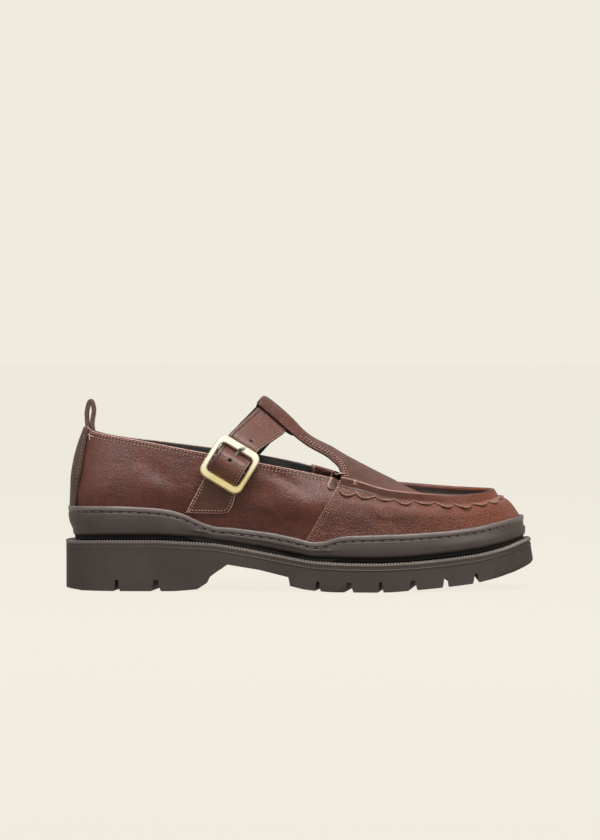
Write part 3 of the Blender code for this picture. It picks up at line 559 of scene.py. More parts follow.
def raw_edge(name, light, brown, toe=None):
    """The cut edge of the hide: pale fibres, stained brown in places, and dyed to one colour at the toe. In
    other colours it also serves as painted shade and as a painted highlight.
    """
    made, tree, shader = solid_finish(name, light, 0.7)
    place = add(tree, "TexCoord").outputs["Object"]
    fibres = add(tree, "TexNoise", {"Vector": place, "Scale": 1 / FIBRES, "Detail": 4.0, "Roughness": 0.7})
    stain = add(tree, "MapRange", {"Value": fibres, "From Min": 0.42, "From Max": 0.66})
    colour = add(tree, "Mix", {0: stain, 6: linear(light), 7: linear(brown)}, data_type="RGBA")
    if toe:
        x = add(tree, "SeparateXYZ", {0: place})
        dyed = add(tree, "MapRange", {"Value": x, "From Min": TOE_X - 0.02, "From Max": TOE_X + 0.02})
        colour = add(tree, "Mix", {0: dyed, 6: colour.outputs[2], 7: linear(toe)}, data_type="RGBA")
    drive(shader, colour, add(tree, "Bump", {"Height": fibres, "Strength": 0.6, "Distance": 0.1 * MM}))
    return made


# A dark edge finish. On the T-bar's loop it is also painted shade of the gap between the loop and the strap.
dark_edge_and_shade = raw_edge("dark waxed edge and painted shade", "#3E2720", "#24140F")
# Painted shade: a dark strip under rows of stitches and along the moc ridge's foot, for the shade in their
# creases.
stitch_shade, _, _ = solid_finish("painted shade under stitches", "#3A2019", 0.7)

# ---------------------------------------------------------------- quarters
# One leather panel from the side seams back round the heel. Its top is folded over, so that the topline is a
# thin round edge, and two rows of tan stitches hold the fold. The fold is painted pale as a highlight.

HEEL_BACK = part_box("outsole")[0].x  # lengths along the shoe are given from here
THROAT_OUTER, THROAT_INNER = 28, 76  # the frame's columns at the throat's corners, counted from the heel
FINE = 4  # rows and columns to one of the frame's
FOLD = 0.6 * MM  # radius of the folded topline
FOLD_ANGLES = (0, 30, 60, 90, 115, 140)
TUCK = 3 * MM  # of the skin below the rand's top
SEAM_TOP, SEAM_FOOT = (172.4, 65), (154.6, 34)  # millimetres from the heel's back, and up from the floor
LAP = 8 * MM  # of the quarter under the vamp
SUNK, SUNK_RUN = 0.6 * MM, 3 * MM  # how far it sinks to go under the vamp, and over what width
HELD_FLAT = 11 * MM  # width beside the side seam over which the creases fade out
FAR_RISE = 1.0 * MM  # the inner quarter stands this much higher
CREASE_BOW = 0.10  # of a crease's length, by which its middle bends
CREASE_ENDS = 12 * MM  # a crease has no effect further than this beyond its ends

# Soft creases and swells of the worn leather, as (x, z) ends in millimetres, width, and depth in or rise out
QUARTER_CREASES = (
    # side, from_x, from_z, to_x, to_z, width, depth
    (-1, 118, 80, 150, 62, 3.2, 0.45), (-1, 124, 74, 160, 57, 2.6, 0.35), (-1, 110, 66, 142, 50, 4.0, 0.40),
    (-1, 40, 84, 66, 70, 5.0, 0.35), (-1, 52, 76, 76, 60, 4.0, 0.30), (-1, 28, 62, 60, 57, 6.0, 0.40),
    (-1, 118, 53, 176, 44, 9.0, -2.3), (-1, 30, 58, 92, 55, 9.0, -1.1),
    (1, 112, 82, 150, 64, 3.4, 0.45), (1, 120, 70, 156, 56, 3.0, 0.35), (1, 36, 80, 70, 66, 5.0, 0.35),
)


def normals(grid):
    """Outward directions of a grid of rows that go up, with columns round the shoe by its outer side."""
    return unit(np.cross(np.roll(grid, -1, axis=1) - np.roll(grid, 1, axis=1), np.gradient(grid, axis=0)))


def fine_wall(rows, fine):
    """The wall's rows above the foot, with so many to one of the frame's, and a row tucked in below them."""
    rows = through(through(rows[1:], fine).transpose(1, 0, 2), fine, closed=True).transpose(1, 0, 2)
    return np.concatenate((rows[:1] - (0, 0, TUCK), rows))


def creased(points, out, creases):
    """The points moved along their outward directions by soft troughs with a low swell on either side."""
    moved = points.copy()
    for side, x0, z0, x1, z1, width, depth in creases:
        start, run = np.array((x0, z0)) * MM, np.array((x1 - x0, z1 - z0)) * MM
        flat = np.stack((points[..., 0] - HEEL_BACK, points[..., 2]), axis=-1) - start
        along = np.clip(flat @ run / (run @ run), 0, 1)
        bow = CREASE_BOW * np.linalg.norm(run) * np.sin(math.pi * along)
        off = (flat @ np.array((-run[1], run[0])) / np.linalg.norm(run) - bow) / (width * MM)
        beyond = np.linalg.norm(flat - along[..., None] * run, axis=-1) - np.abs(off * width * MM + bow)
        fade = np.sin(math.pi * along) ** 0.6 * (np.abs(beyond) < CREASE_ENDS) * (points[..., 1] * side > 0)
        swell = (0.45 if depth > 0 else 0.25) * np.exp(-((np.abs(off) - 1.7) ** 2))
        moved -= out * (fade * depth * MM * (np.exp(-(off**2)) - swell))[..., None]
    return moved


def side_line(top, foot):
    """A line up the shoe's side, between ends in millimetres: its foot, its direction, and square to it the
    way ahead."""
    up = Vector((top[0] - foot[0], 0, top[1] - foot[1])).normalized()
    return Vector((HEEL_BACK + foot[0] * MM, 0, foot[1] * MM)), up, Vector((up.z, 0, -up.x))


def ahead_of_seam(points):
    """How far the points lie ahead of the side seam."""
    return (np.asarray(points) - np.array(seam_point)) @ np.array(seam_ahead)


def cut(bm, point, direction, clear=True):
    """Cuts along a plane, and clears away what lies beyond it."""
    bmesh.ops.bisect_plane(
        bm, geom=bm.verts[:] + bm.edges[:] + bm.faces[:], dist=1e-6, plane_co=point, plane_no=direction,
        clear_outer=clear,
    )


def laid(points, skin, lift):
    """Points laid on a skin and lifted off it, with the directions out of it, as rows of six numbers."""
    made = []
    for point in points:
        on, out, _, _ = skin.find_nearest(Vector(point))
        made.append((*(on + out * lift), *out))
    return np.array(made)


tan_thread = thread("tan thread", "#BE937B")
# Painted highlight: the folded topline's pale colour.
folded_edge_highlight = raw_edge("folded edge with painted highlight", "#CDA399", "#93675A")
quarter_leather = leather(
    "smooth quarter leather", "#663427", "#733927", "#381910", 0.18 * MM, 0.38, 0.08, painted_highlight=0.12
)
seam_point, seam_slope, seam_ahead = side_line(SEAM_TOP, SEAM_FOOT)
skin_rows = fine_wall(wall, FINE)
far_side = skin_rows[1:, :, 1] > 0
far_side = far_side * ramp(skin_rows[1:, :, 0], -0.125, -0.095) * ramp(skin_rows[1:, :, 0], 0.03, 0.0)
skin_rows[1:, :, 2] += far_side * np.linspace(0, 1, len(skin_rows) - 1)[:, None] ** 2 * FAR_RISE
skin_out = normals(skin_rows)
loose = np.clip(-ahead_of_seam(skin_rows) / HELD_FLAT, 0, 1)[..., None]
crease_shift = (creased(skin_rows, skin_out, QUARTER_CREASES) - skin_rows) * loose
quarter_rows = skin_rows + crease_shift
sunk = SUNK * np.clip(1 + ahead_of_seam(quarter_rows) / SUNK_RUN, 0, 1)
quarter_rows -= skin_out * sunk[..., None]
top, top_out = quarter_rows[-1], skin_out[-1]
rise = unit(quarter_rows[-1] - quarter_rows[-2])
fold = [
    top - FOLD * rise - FOLD * top_out + FOLD * (math.cos(a) * top_out + math.sin(a) * rise)
    for a in map(math.radians, FOLD_ANGLES)
]
quarter = sheet(np.concatenate((quarter_rows[:-1], fold)), closed=True)
paint(quarter.faces[-(len(fold) - 1) * len(top) :], 1)
cut(quarter, seam_point + seam_ahead * LAP, seam_ahead)
piece(quarter, "quarters", [quarter_leather, folded_edge_highlight], ["upper"], thickness=1.0 * MM)

quarter_skin = BVHTree.FromBMesh(sheet(quarter_rows, closed=True))
round_back = np.r_[FINE * THROAT_INNER : len(top), : FINE * THROAT_OUTER]  # the topline's columns
for number, below in enumerate((1.7 * MM, 3.7 * MM)):
    line = laid(top[round_back] - rise[round_back] * below, quarter_skin, 0.10 * MM)
    sew("topline_stitches_%d" % number, line, 2.3, 1.6, 0.28, tan_thread, stitch_shade)

# ---------------------------------------------------------------- vamp
# One panel from side seam to side seam round the toe. It laps over the quarters, with its pale cut edge
# showing and two rows of stitches beside it, and creases fan out of the throat's corners.

VAMP_CREASES = (
    # side, from_x, from_z, to_x, to_z, width, depth
    (-1, 176, 66, 196, 44, 3.0, 0.45), (-1, 182, 63, 210, 46, 3.0, 0.50), (-1, 190, 61, 222, 49, 2.6, 0.40),
    (-1, 176, 52, 206, 40, 3.2, 0.40), (-1, 200, 58, 232, 47, 3.0, 0.35), (-1, 212, 55, 240, 48, 2.4, 0.30),
    (-1, 165, 48, 255, 41, 9.0, -1.3), (-1, 205, 47, 212, 38, 3.0, 0.4),
    (1, 178, 68, 200, 46, 3.0, 0.45), (1, 186, 65, 214, 48, 3.0, 0.50), (1, 200, 60, 232, 49, 3.0, 0.35),
)
VAMP_FINE = 6
FLATTENED = ((2, 0.24), (3, 0.48), (4, 0.74))  # rows moved to a share of the way from the rand's top to row 5
STEP, STEP_RUN = 0.55 * MM, 14 * MM  # how far it stands over the quarter at the side seam, and on what width
CUT_EDGE = 0.4 * MM  # of a panel, left pale
SIDE_SEAM = 36 * MM  # length of its rows of stitches
SIDES = ((-1, "outer"), (1, "inner"))


def from_side(skin, x, z, side=-1):
    """Where a level ray from the outer side (-1) or the inner one (1) meets a skin, and the way out of it."""
    return skin.ray_cast(Vector((x, side * 0.2, z)), Vector((0, -side, 0)))[:2]


def up_side(skin, side, point, run, shares, lift):
    """Places on a skin's side over these shares of a line's run from a point, as rows of six like laid's."""
    met = [from_side(skin, *(point + run * share).xz, side) for share in shares]
    return np.array([(*(on + out * lift), *out) for on, out in met if on])


vamp_leather = leather("pebbled vamp leather", "#743E2D", "#834731", "#432015", 0.50 * MM, 0.38, painted_highlight=0.42)
vamp_edge = raw_edge("vamp raw edge", "#A98270", "#6B4535")
vamp_wall = wall.copy()
for row, share in FLATTENED:
    vamp_wall[row] = wall[1] + (wall[5] - wall[1]) * share
plain_rows = fine_wall(vamp_wall, VAMP_FINE)
vamp_out = normals(plain_rows)
vamp_rows = creased(plain_rows, vamp_out, VAMP_CREASES)
step = STEP * np.clip(1 - ahead_of_seam(vamp_rows) / STEP_RUN, 0, 1) ** 2
vamp_rows += vamp_out * step[..., None]
vamp = sheet(vamp_rows, closed=True)
cut(vamp, seam_point, -seam_ahead)
cut(vamp, seam_point + seam_ahead * CUT_EDGE, seam_ahead, clear=False)
paint((face for face in vamp.faces if ahead_of_seam(face.calc_center_median()) < CUT_EDGE), 1)
piece(vamp, "vamp", [vamp_leather, vamp_edge], thickness=1.1 * MM, rim=1)

vamp_skin = BVHTree.FromBMesh(sheet(vamp_rows, closed=True))
for side, name in SIDES:
    for number, ahead in enumerate((1.6 * MM, 3.4 * MM)):
        start, shares = seam_point + seam_ahead * ahead, np.linspace(-0.02, 1.12, 60)
        sew(
            "side_seam_stitches_%s_%d" % (name, number),
            up_side(vamp_skin, side, start, seam_slope * SIDE_SEAM, shares, 0.10 * MM),
            1.7, 1.15, 0.26, tan_thread, stitch_shade,
        )

# ---------------------------------------------------------------- apron and T-bar
# One leather panel set in at the moc seam. It sinks inside the ridge, runs up the instep as the T-bar, and is
# folded back over the strap and sewn down as a loop.

RIDGE_SPACING = 0.5 * MM
APRON_SINK, APRON_SINK_WIDTH = 3.5 * MM, 7 * MM
SINK_FROM, SINK_FULL = 0.060, 0.090
BAR_STITCHES_FROM = 150 * MM
BAR_STITCHES_CLEAR = {-1: 2 * MM, 1: 7 * MM}  # of the moc seam, on either side
BAR_ROLL, BAR_ROLL_WIDTH = 0.9 * MM, 1.8 * MM  # how far the T-bar's edges are rolled down, and how wide


def eased(line, times):
    """An open line smoothed so many times between its ends."""
    for _ in range(times):
        line[1:-1] = (line[:-2] + 2 * line[1:-1] + line[2:]) / 4
    return line


apron_leather = leather(
    "apron leather", "#633D32", "#713F30", "#371D16", 0.12 * MM, 0.52, 0.0, 1.38, painted_highlight=0.05
)
below = set().union(*rows[:-1], rows[-1][:THROAT_OUTER], rows[-1][THROAT_INNER + 1 :])
bmesh.ops.delete(skin, geom=[f for f in skin.faces if any(v in below for v in f.verts)], context="FACES")
apron_mesh = bpy.data.meshes.new("apron cage")
skin.to_mesh(apron_mesh)
skin.free()
cage = bpy.data.objects.new("apron cage", apron_mesh)
scene.collection.objects.link(cage)
cage.modifiers.new("fair", "SUBSURF").levels = 2
fair = bpy.data.meshes.new_from_object(cage.evaluated_get(bpy.context.evaluated_depsgraph_get()))
bpy.data.objects.remove(cage)
apron = bmesh.new()
apron.from_mesh(fair)
paint(apron.faces, 0)
moc_line = through(wall[-1, THROAT_OUTER : THROAT_INNER + 1], 8)
moc_seam = evenly(moc_line, RIDGE_SPACING)
for vert in apron.verts:
    inside = np.linalg.norm(moc_seam - np.array(vert.co), axis=1).min() / APRON_SINK_WIDTH
    vert.co.z -= APRON_SINK * min(inside, 1.0) * ramp(vert.co.x, SINK_FROM, SINK_FULL)
apron_rim = rounds(apron)[0]
free_rim = np.array([v.co for v in apron_rim])
free_rim = free_rim[np.linalg.norm(free_rim[:, None] - moc_seam[None], axis=2).min(axis=1) > 3 * MM]
apron.normal_update()
for vert in apron.verts:
    from_edge = np.linalg.norm(free_rim - np.array(vert.co), axis=1).min()
    vert.co -= vert.normal * BAR_ROLL * math.exp(-((from_edge / BAR_ROLL_WIDTH) ** 2))
apron_skin = BVHTree.FromBMesh(apron)
bar_edge = []
for before, vert, after in zip(apron_rim[-1:] + apron_rim[:-1], apron_rim, apron_rim[1:] + apron_rim[:1]):
    ahead = (after.co - before.co).normalized()
    inner = [f.calc_center_median() for f in vert.link_faces]
    inwards = sum(inner, Vector()) / len(inner) - vert.co
    inwards -= ahead * inwards.dot(ahead)
    bar_edge.append((*vert.co, *inwards.normalized()))
bar_edge = np.array(bar_edge)
# The T-bar's edges take the dark edge, which also paints the shade of the gap under the loop.
piece(apron, "apron_and_t_bar", [apron_leather, dark_edge_and_shade], thickness=1.2 * MM, rim=1)

pale_thread = thread("pale tab thread", "#CFA690")
off_seam = np.linalg.norm(bar_edge[:, None, :3] - moc_seam[None], axis=2).min(axis=1)
on_bar = (off_seam > 2 * MM) & (bar_edge[:, 0] > HEEL_BACK + BAR_STITCHES_FROM)
bar_middle = bar_edge[on_bar, 1].mean()
for side, name in SIDES:
    this_side = (off_seam > BAR_STITCHES_CLEAR[side]) & ((bar_edge[:, 1] - bar_middle) * side > 0)
    edge = bar_edge[on_bar & this_side]
    edge = edge[np.argsort(edge[:, 0])]
    for number, inset in enumerate((2.3 * MM, 4.1 * MM)):
        line = eased(evenly(edge[:, :3] + edge[:, 3:] * inset, 1 * MM), 8)
        sew(
            "t_bar_stitches_%s_%d" % (name, number), laid(line, apron_skin, 0.20 * MM), 2.2, 1.5, 0.36,
            pale_thread, stitch_shade,
        )

# ---------------------------------------------------------------- lining and insole
# A charcoal textile backs the quarters and the vamp, and comes right up to the folded topline. The insole is
# a dark brown leather sock.

WEAVE = 0.9 * MM  # drawn coarser than the textile's own
LINING_DEPTH = 1.15 * MM  # below the quarters' skin

charcoal, tree, shader = solid_finish("charcoal lining textile", "#4C4846", 0.85, Sheen_Weight=0.25)
place = add(tree, "TexCoord").outputs["Object"]
bands = []
for turn in (0.0, math.pi / 2):
    turned = add(tree, "Mapping", {"Vector": place, "Rotation": (0.0, turn, 0.0)})
    wave = {"Vector": turned, "Scale": 0.5 / WEAVE, "Distortion": 0.6}
    bands.append(add(tree, "TexWave", wave, bands_direction="DIAGONAL").outputs["Fac"])
weave = add(tree, "Math", {0: bands[0], 1: bands[1]}, operation="MULTIPLY")
yarn = linear("#4C4846")
between = (*(0.45 * c for c in yarn[:3]), 1.0)
mixed = add(tree, "Mix", {0: weave, 6: between, 7: yarn}, data_type="RGBA")
drive(shader, mixed, add(tree, "Bump", {"Height": weave, "Strength": 0.5, "Distance": 0.12 * MM}))

lining_rows = np.concatenate((skin_rows[1:2] - (0, 0, 14 * MM), skin_rows[1:] + crease_shift[1:]))
lining_rows -= normals(lining_rows) * LINING_DEPTH
lining_rows[-1] -= unit(lining_rows[-1] - lining_rows[-2]) * 0.25 * MM
piece(sheet(lining_rows, closed=True), "lining", [charcoal], thickness=0.6 * MM)
sock_leather = leather("dark sock leather", "#3E2E28", "#463229", "#241914", 0.05 * MM, 0.6)
piece(merged("insole"), "insole_sock", [sock_leather], ["insole"], bevel=0.5 * MM)

# ---------------------------------------------------------------- moc ridge
# The vamp's and the apron's edges are turned up and sewn to each other as a standing ridge of two
# thicknesses, with pale cut edges on top. The vamp's surplus is gathered below it into a scalloped frill.
# The lower part of the ridge's inner face, and a strip where the frill leaves the ridge, are painted near
# black as shade.

SCALLOP = 12.0 * MM
THROAT_DROP, THROAT_DROP_RUN = 5.0 * MM, 46 * MM  # the seam runs down the vamp's face towards either corner
TOE_LEAN = 0.75  # of the ridge, outwards at its foot
TOE_DIP = 0.8  # millimetres by which its top is lower at the toe
RIDGE_OUTER = (
    # out, up: millimetres from the moc seam, on the ridge's outer face. The last ones are its cut edge
    (2.0, -1.2), (1.70, -0.4), (1.55, 1.0), (1.50, 2.6), (1.46, 3.8), (1.42, 4.70), (1.30, 5.20),
    (1.05, 5.52), (0.60, 5.72), (0.10, 5.74),
)
RIDGE_INNER = (
    # out, up: millimetres from the moc seam, on the ridge's inner face. The first ones are its cut edge
    (-0.30, 5.30), (-0.80, 5.24), (-1.15, 5.00), (-1.32, 4.60), (-1.40, 3.6), (-1.45, 2.0), (-1.60, 0.6),
    (-2.3, -0.5),
)
EDGE_BANDS = 3  # of either section, which are its cut edge
LEAF_STEPS = 3  # mesh rows to one band
ridge_edge = raw_edge("ridge raw edge", "#B08676", "#865A4B", toe="#4A332C")
ridge_leather = leather("turned up ridge leather", "#5E382D", "#70402F", "#38201A", 0.06 * MM, 0.45)
# Painted shade: near black for the lower rows of the ridge's inner face, where the apron's hollow lies in
# shadow.
inner_shade = raw_edge("inner fold with painted shade", "#2A1814", "#150B09")
seam_out = level_normals(np.gradient(moc_seam, axis=0))
seam_run = np.arange(len(moc_seam)) * RIDGE_SPACING
fall = through((wall[-3] - wall[-1])[THROAT_OUTER : THROAT_INNER + 1], 8)
down = unit(evenly(np.column_stack((moc_line, fall)), RIDGE_SPACING)[:, 3:])
from_throat = np.minimum(seam_run, seam_run[-1] - seam_run)
seam = moc_seam + down * (THROAT_DROP * np.clip(1 - from_throat / THROAT_DROP_RUN, 0, 1) ** 1.4)[:, None]
at_toe = ramp(seam[:, 0], 0.108, 0.130)


def ripple(length, phase=0.0):
    """A wave of this length along the seam."""
    return np.sin(seam_run * 2 * math.pi / length + phase)


hand = 0.10 * ripple(SCALLOP) + 0.12 * ripple(3.7 * SCALLOP, 1.0)  # the slight unevenness of handwork


def ridge_rows(section):
    """Rows along the seam at each (out, up) of a section, uneven towards the top and leaning at the toe."""
    made = []
    for out, up in section:
        share = max(up, 0.0) / 5.0
        leaning = at_toe * TOE_LEAN * max(4.7 - up, 0.0) * (out > 0)
        lift = up - TOE_DIP * at_toe * share + 0.15 * share * hand
        sideways = seam_out * (out + leaning + share * hand)[:, None]
        made.append(seam + (sideways + np.outer(lift, (0, 0, 1))) * MM)
    return np.array(made)


outer_leaf = sheet(through(ridge_rows(RIDGE_OUTER), LEAF_STEPS))
inner_leaf = sheet(through(ridge_rows(RIDGE_INNER), LEAF_STEPS))
band = LEAF_STEPS * (len(seam) - 1)
for cut_faces in (outer_leaf.faces[-EDGE_BANDS * band :], inner_leaf.faces[: EDGE_BANDS * band]):
    paint((face for face in cut_faces if face.calc_center_median().y < 0.0), 1)  # the far side's is dyed
paint(inner_leaf.faces[(EDGE_BANDS + 1) * band :], 2)
piece(
    outer_leaf, "moc_ridge_outer", [ridge_leather, ridge_edge], ["moc_ridge"],
    thickness=1.3 * MM,
)
piece(
    inner_leaf, "moc_ridge_inner", [ridge_leather, ridge_edge, inner_shade],
    thickness=1.1 * MM,
)

FRILL = (
    # share of the reach down the vamp, and push outwards in millimetres, where it's gathered and in mid lobe
    (0.00, 0.0, 0.0), (0.35, 0.0, 0.0), (0.65, 0.0, 0.1), (0.85, 0.1, 0.6), (0.95, 0.2, 1.2),
    (1.00, 0.4, 2.0),
)
FRILL_REACH, LOBE_REACH = 0.9, 4.6  # millimetres down the vamp, and more in mid lobe
wander = 1.6 * MM * np.sin(seam_run / (31 * MM)) + 0.9 * MM * np.sin(seam_run / (17 * MM) + 1)
lobe = np.abs(np.sin(math.pi * (seam_run + wander) / SCALLOP)) ** 0.8 * (1 - 0.7 * at_toe)
uneven = 1 + 0.16 * ripple(2.6 * SCALLOP) + 0.08 * ripple(1.7 * SCALLOP, 2)
frill = [seam + seam_out * ((1.45 + at_toe * 2.6) * MM)[:, None] + (0, 0, 1.2 * MM)]
for share, gathered, free in FRILL:
    pleat = 0.16 * ripple(SCALLOP / 4, math.pi / 2) * math.sin(math.pi * share)
    push = (gathered + (free - gathered) * lobe + pleat) * (1 - 0.8 * at_toe) * MM
    reach = 1.5 + 2.6 * at_toe + (FRILL_REACH + LOBE_REACH * lobe * uneven) * share
    found = [vamp_skin.find_nearest(Vector(point)) for point in seam + down * (reach * MM)[:, None]]
    frill.append(np.array([on + out * 0.95 * MM for on, out, _, _ in found]) + seam_out * push[:, None])
frill_rows = through(np.array(frill), 2)
frill_edge = raw_edge("frill raw edge", "#A47E6D", "#60423A")
# A dark strip where the frill leaves the ridge: painted shade of the crease between them.
piece(sheet(frill_rows[2:4][::-1] + seam_out * 0.15 * MM), "moc_crease_shade", [stitch_shade])
piece(
    sheet(frill_rows[::-1]), "moc_frill", [ridge_leather, frill_edge],
    thickness=1.2 * MM, rim=1,
)

MOC_STITCH_FROM = 62 * MM  # along the seam from either throat corner
line = seam + seam_out * ((2.1 + at_toe * 4.0) * MM)[:, None] - (0, 0, 0.8 * MM)
line = np.column_stack((line, seam_out))[from_throat > MOC_STITCH_FROM]
sew("moc_seam_stitches", line, 3.0, 2.2, 0.40, tan_thread, stitch_shade)

# ---------------------------------------------------------------- cross strap
# Two thicknesses of leather and a dark lining, stitched along both edges. It comes off the inner quarter,
# goes under the T-bar's loop and down through the buckle, and is punched with round holes for the prong.
# Near black discs below the holes are painted shade.

STRAP_STEPS, STRAP_COLUMNS = 340, 47
HOLE_RADIUS = 1.4 * MM
HOLE_DEPTH = 0.9 * MM
SLACK = 0.9 * MM  # between the strap and the loop it passes under
STRAP_LENGTH = 164 * MM
TRIMMED = 5 * MM  # of the strap's end, which is turned under the lower bar
FAR_BACK = 3 * MM  # the inner side lies this much further back
ROLLED = 0.28 * MM  # how far the strap's edges are rounded down
LINING_OUT = 0.35 * MM  # how far the lining stands out past the leather
STRAP_INSET = 1.9 * MM  # of the stitches
HOLES = ((119.1, 95.1), (110.6, 88.2), (105.6, 83.0))  # millimetres from the heel's back, and up


def long_edges(bm, limit):
    """The four longest lines of sharp edges between a strap's corners."""
    sharp = {e for e in bm.edges if e.is_manifold and e.calc_face_angle() > limit}
    lines = {}
    for corner in (v for v in bm.verts if sum(e in sharp for e in v.link_edges) == 3):
        for edge in (e for e in corner.link_edges if e in sharp):
            line, used = [corner], edge
            while used:
                line.append(used.other_vert(line[-1]))
                ahead = [e for e in line[-1].link_edges if e in sharp and e is not used]
                used = ahead[0] if len(ahead) == 1 else None
            lines[frozenset((line[0], line[-1]))] = np.array([v.co for v in line])
    return sorted(lines.values(), key=lambda line: -np.linalg.norm(np.diff(line, axis=0), axis=1).sum())[:4]


def route(edges, steps):
    """A strap's course from its outer end, as rows of nine: its middle, then half its width to the second
    side, then half its thickness outwards."""
    even = []
    for line in edges:
        line = line if line[0, 1] < line[-1, 1] else line[::-1]
        at = np.concatenate(([0.0], np.cumsum(np.linalg.norm(np.diff(line, axis=0), axis=1))))
        even.append(np.column_stack([np.interp(np.linspace(0, 1, steps) * at[-1], at, c) for c in line.T]))
    first, second, *under = even
    under.sort(key=lambda line: np.linalg.norm(line[0] - first[0]))
    return np.column_stack((
        (first + second + under[0] + under[1]) / 4,
        (second + under[1] - first - under[0]) / 4,
        (first + second - under[0] - under[1]) / 4,
    ))


def strip(course, across, height):
    """Rows of points over a strap at a height in half thicknesses from its middle layer."""
    sides = np.linspace(-1, 1, across)[:, None, None]
    return course[None, :, :3] + sides * course[None, :, 3:6] + height * course[None, :, 6:9]


def punch(bm, centre, radius):
    """Cuts a round hole through a fine grid."""
    near = [f for f in bm.faces if (f.calc_center_median() - centre).length < 0.95 * radius]
    ring = {v for f in near for v in f.verts}
    bmesh.ops.delete(bm, geom=near, context="FACES")
    for vert in ring:
        if vert.is_valid and vert.is_boundary:
            vert.co = centre + (vert.co - centre).normalized() * radius


strap_leather = leather("strap leather", "#693F33", "#7C4938", "#40221A", 0.12 * MM, 0.34, 0.25)
strap_edge = raw_edge("strap raw edge", "#B89486", "#7E5849")
course = eased(route(long_edges(merged("cross_strap"), math.radians(60)), STRAP_STEPS), 34)
course = course[int(TRIMMED / STRAP_LENGTH * STRAP_STEPS) :]
course[:, 0] -= FAR_BACK * ramp(course[:, 1], 0, 25 * MM)
strap_out = unit(course[:, 6:9])
course[:, :3] -= strap_out * SLACK * ramp(np.abs(course[:, 1]), 30 * MM, 18 * MM)[:, None]
rolled = ROLLED * np.exp((np.abs(np.linspace(-1, 1, STRAP_COLUMNS)) - 1) / 0.05)
strap_top = strip(course, STRAP_COLUMNS, 1.0) - rolled[:, None, None] * strap_out[None]
strap = sheet(strap_top[::-1])
paint(strap.faces[: len(course) - 1], 1)
strap_skin = BVHTree.FromBMesh(strap)
# Painted shade: a near black disc below each hole, seen through it.
hole_shade_discs = bmesh.new()
for x, z in HOLES:
    centre, out = from_side(strap_skin, HEEL_BACK + x * MM, z * MM)
    punch(strap, centre, HOLE_RADIUS)
    turned = Matrix.Translation(centre - out * HOLE_DEPTH) @ out.to_track_quat("Z", "Y").to_matrix().to_4x4()
    bmesh.ops.create_circle(
        hole_shade_discs, cap_ends=True, segments=16, radius=1.3 * HOLE_RADIUS, matrix=turned
    )
piece(hole_shade_discs, "strap_hole_shade_discs", [painted_shade_black])
piece(
    strap, "cross_strap_leather", [strap_leather, strap_edge], ["cross_strap"],
    thickness=1.15 * MM, rim=1,
)
wider = course.copy()
wider[:, 3:6] += unit(wider[:, 3:6]) * LINING_OUT
lining = sheet(strip(wider, 9, -0.30)[::-1])
piece(lining, "cross_strap_lining", [charcoal], thickness=0.6 * MM)
# Painted shade: the rear row's thread is darker, as the strap's rear edge lies in shadow; the front row is
# tan.
shaded_thread = thread("strap thread with painted shade", "#4A3029")
for name, side, finish in (("rear", -1, shaded_thread), ("front", 1, tan_thread)):
    inset = 1 - STRAP_INSET / np.linalg.norm(course[:, 3:6], axis=1)[:, None]
    line = course[:, :3] + side * inset * course[:, 3:6] + course[:, 6:9] + strap_out * 0.08 * MM
    line = np.column_stack((line, strap_out))[4:-4]
    sew("strap_stitches_" + name, line, 2.0, 1.4, 0.30, finish, stitch_shade)

# ---------------------------------------------------------------- buckle
# A cast zinc frame, plated pale brass and polished: broad flat bars with a bevel to the window. The centre
# bar and the prong are plated too, and the prong's tip rests on the upper bar. The plate's colour is a
# painted
# reflection: cream at the top, yellow lower down.

FRAME_BROADER, WINDOW_BROADER = 1.1 * MM, 0.6 * MM
WINDOW_RADIUS = 15.5 * MM  # the window's points lie within it
BRASS, BRASS_YELLOW = "#F7F0DE", "#C4B377"
brass, tree, shader = solid_finish(
    "polished pale brass plate", BRASS, 0.24, Metallic=0.4, Coat_Weight=0.5, Coat_Roughness=0.12
)
place = add(tree, "TexCoord").outputs["Object"]
haze = add(tree, "TexNoise", {"Vector": place, "Scale": 1 / (12 * MM), "Detail": 2.0})
# Painted reflection: the colour goes from cream at the top to BRASS_YELLOW lower down, with random haze.
height = add(tree, "SeparateXYZ", {0: place}).outputs["Z"]
lower = add(tree, "MapRange", {"Value": height, "From Min": 0.086, "From Max": 0.070})
hazy = add(tree, "MapRange", {"Value": haze, "From Min": 0.3, "From Max": 0.8, "To Max": 0.35})
yellow = add(tree, "Math", {0: lower, 1: hazy}, operation="ADD", use_clamp=True)
tone = add(tree, "Mix", {0: yellow, 6: linear(BRASS), 7: linear(BRASS_YELLOW)}, data_type="RGBA")
wear = add(tree, "TexNoise", {"Vector": place, "Scale": 1 / (0.8 * MM), "Detail": 3.0, "Roughness": 0.7})
rub = add(tree, "MapRange", {"Value": wear, "To Min": 0.16, "To Max": 0.34})
drive(shader, tone, add(tree, "Bump", {"Height": wear, "Strength": 0.10, "Distance": 0.01 * MM}), rub)
casting = merged("buckle_frame")
corners = np.array([v.co for v in casting.verts])
casting_middle = Vector((corners.max(axis=0) + corners.min(axis=0)) / 2)
for vert in casting.verts:
    off = vert.co - casting_middle
    vert.co += off.normalized() * (FRAME_BROADER if off.length > WINDOW_RADIUS else WINDOW_BROADER)
piece(casting, "buckle_casting", [brass], ["buckle_frame"], smooth=30)
centre_bar = merged("buckle_centre_bar")
piece(centre_bar, "buckle_bar", [brass], ["buckle_centre_bar"], bevel=0.2 * MM)

bar, ring = (
    np.array([v.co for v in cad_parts[name].data.vertices])
    for name in ("buckle_centre_bar", "buckle_frame")
)
buckle_middle = bar.mean(axis=0)
buckle_across = np.linalg.svd(bar - buckle_middle, full_matrices=False)[2][0]
buckle_across *= np.sign(buckle_across[0])
buckle_out = np.linalg.svd(ring - ring.mean(axis=0), full_matrices=False)[2][2]
buckle_out *= -np.sign(buckle_out[1])
buckle_up = np.cross(buckle_across, buckle_out)
buckle_up *= np.sign(buckle_up[2])

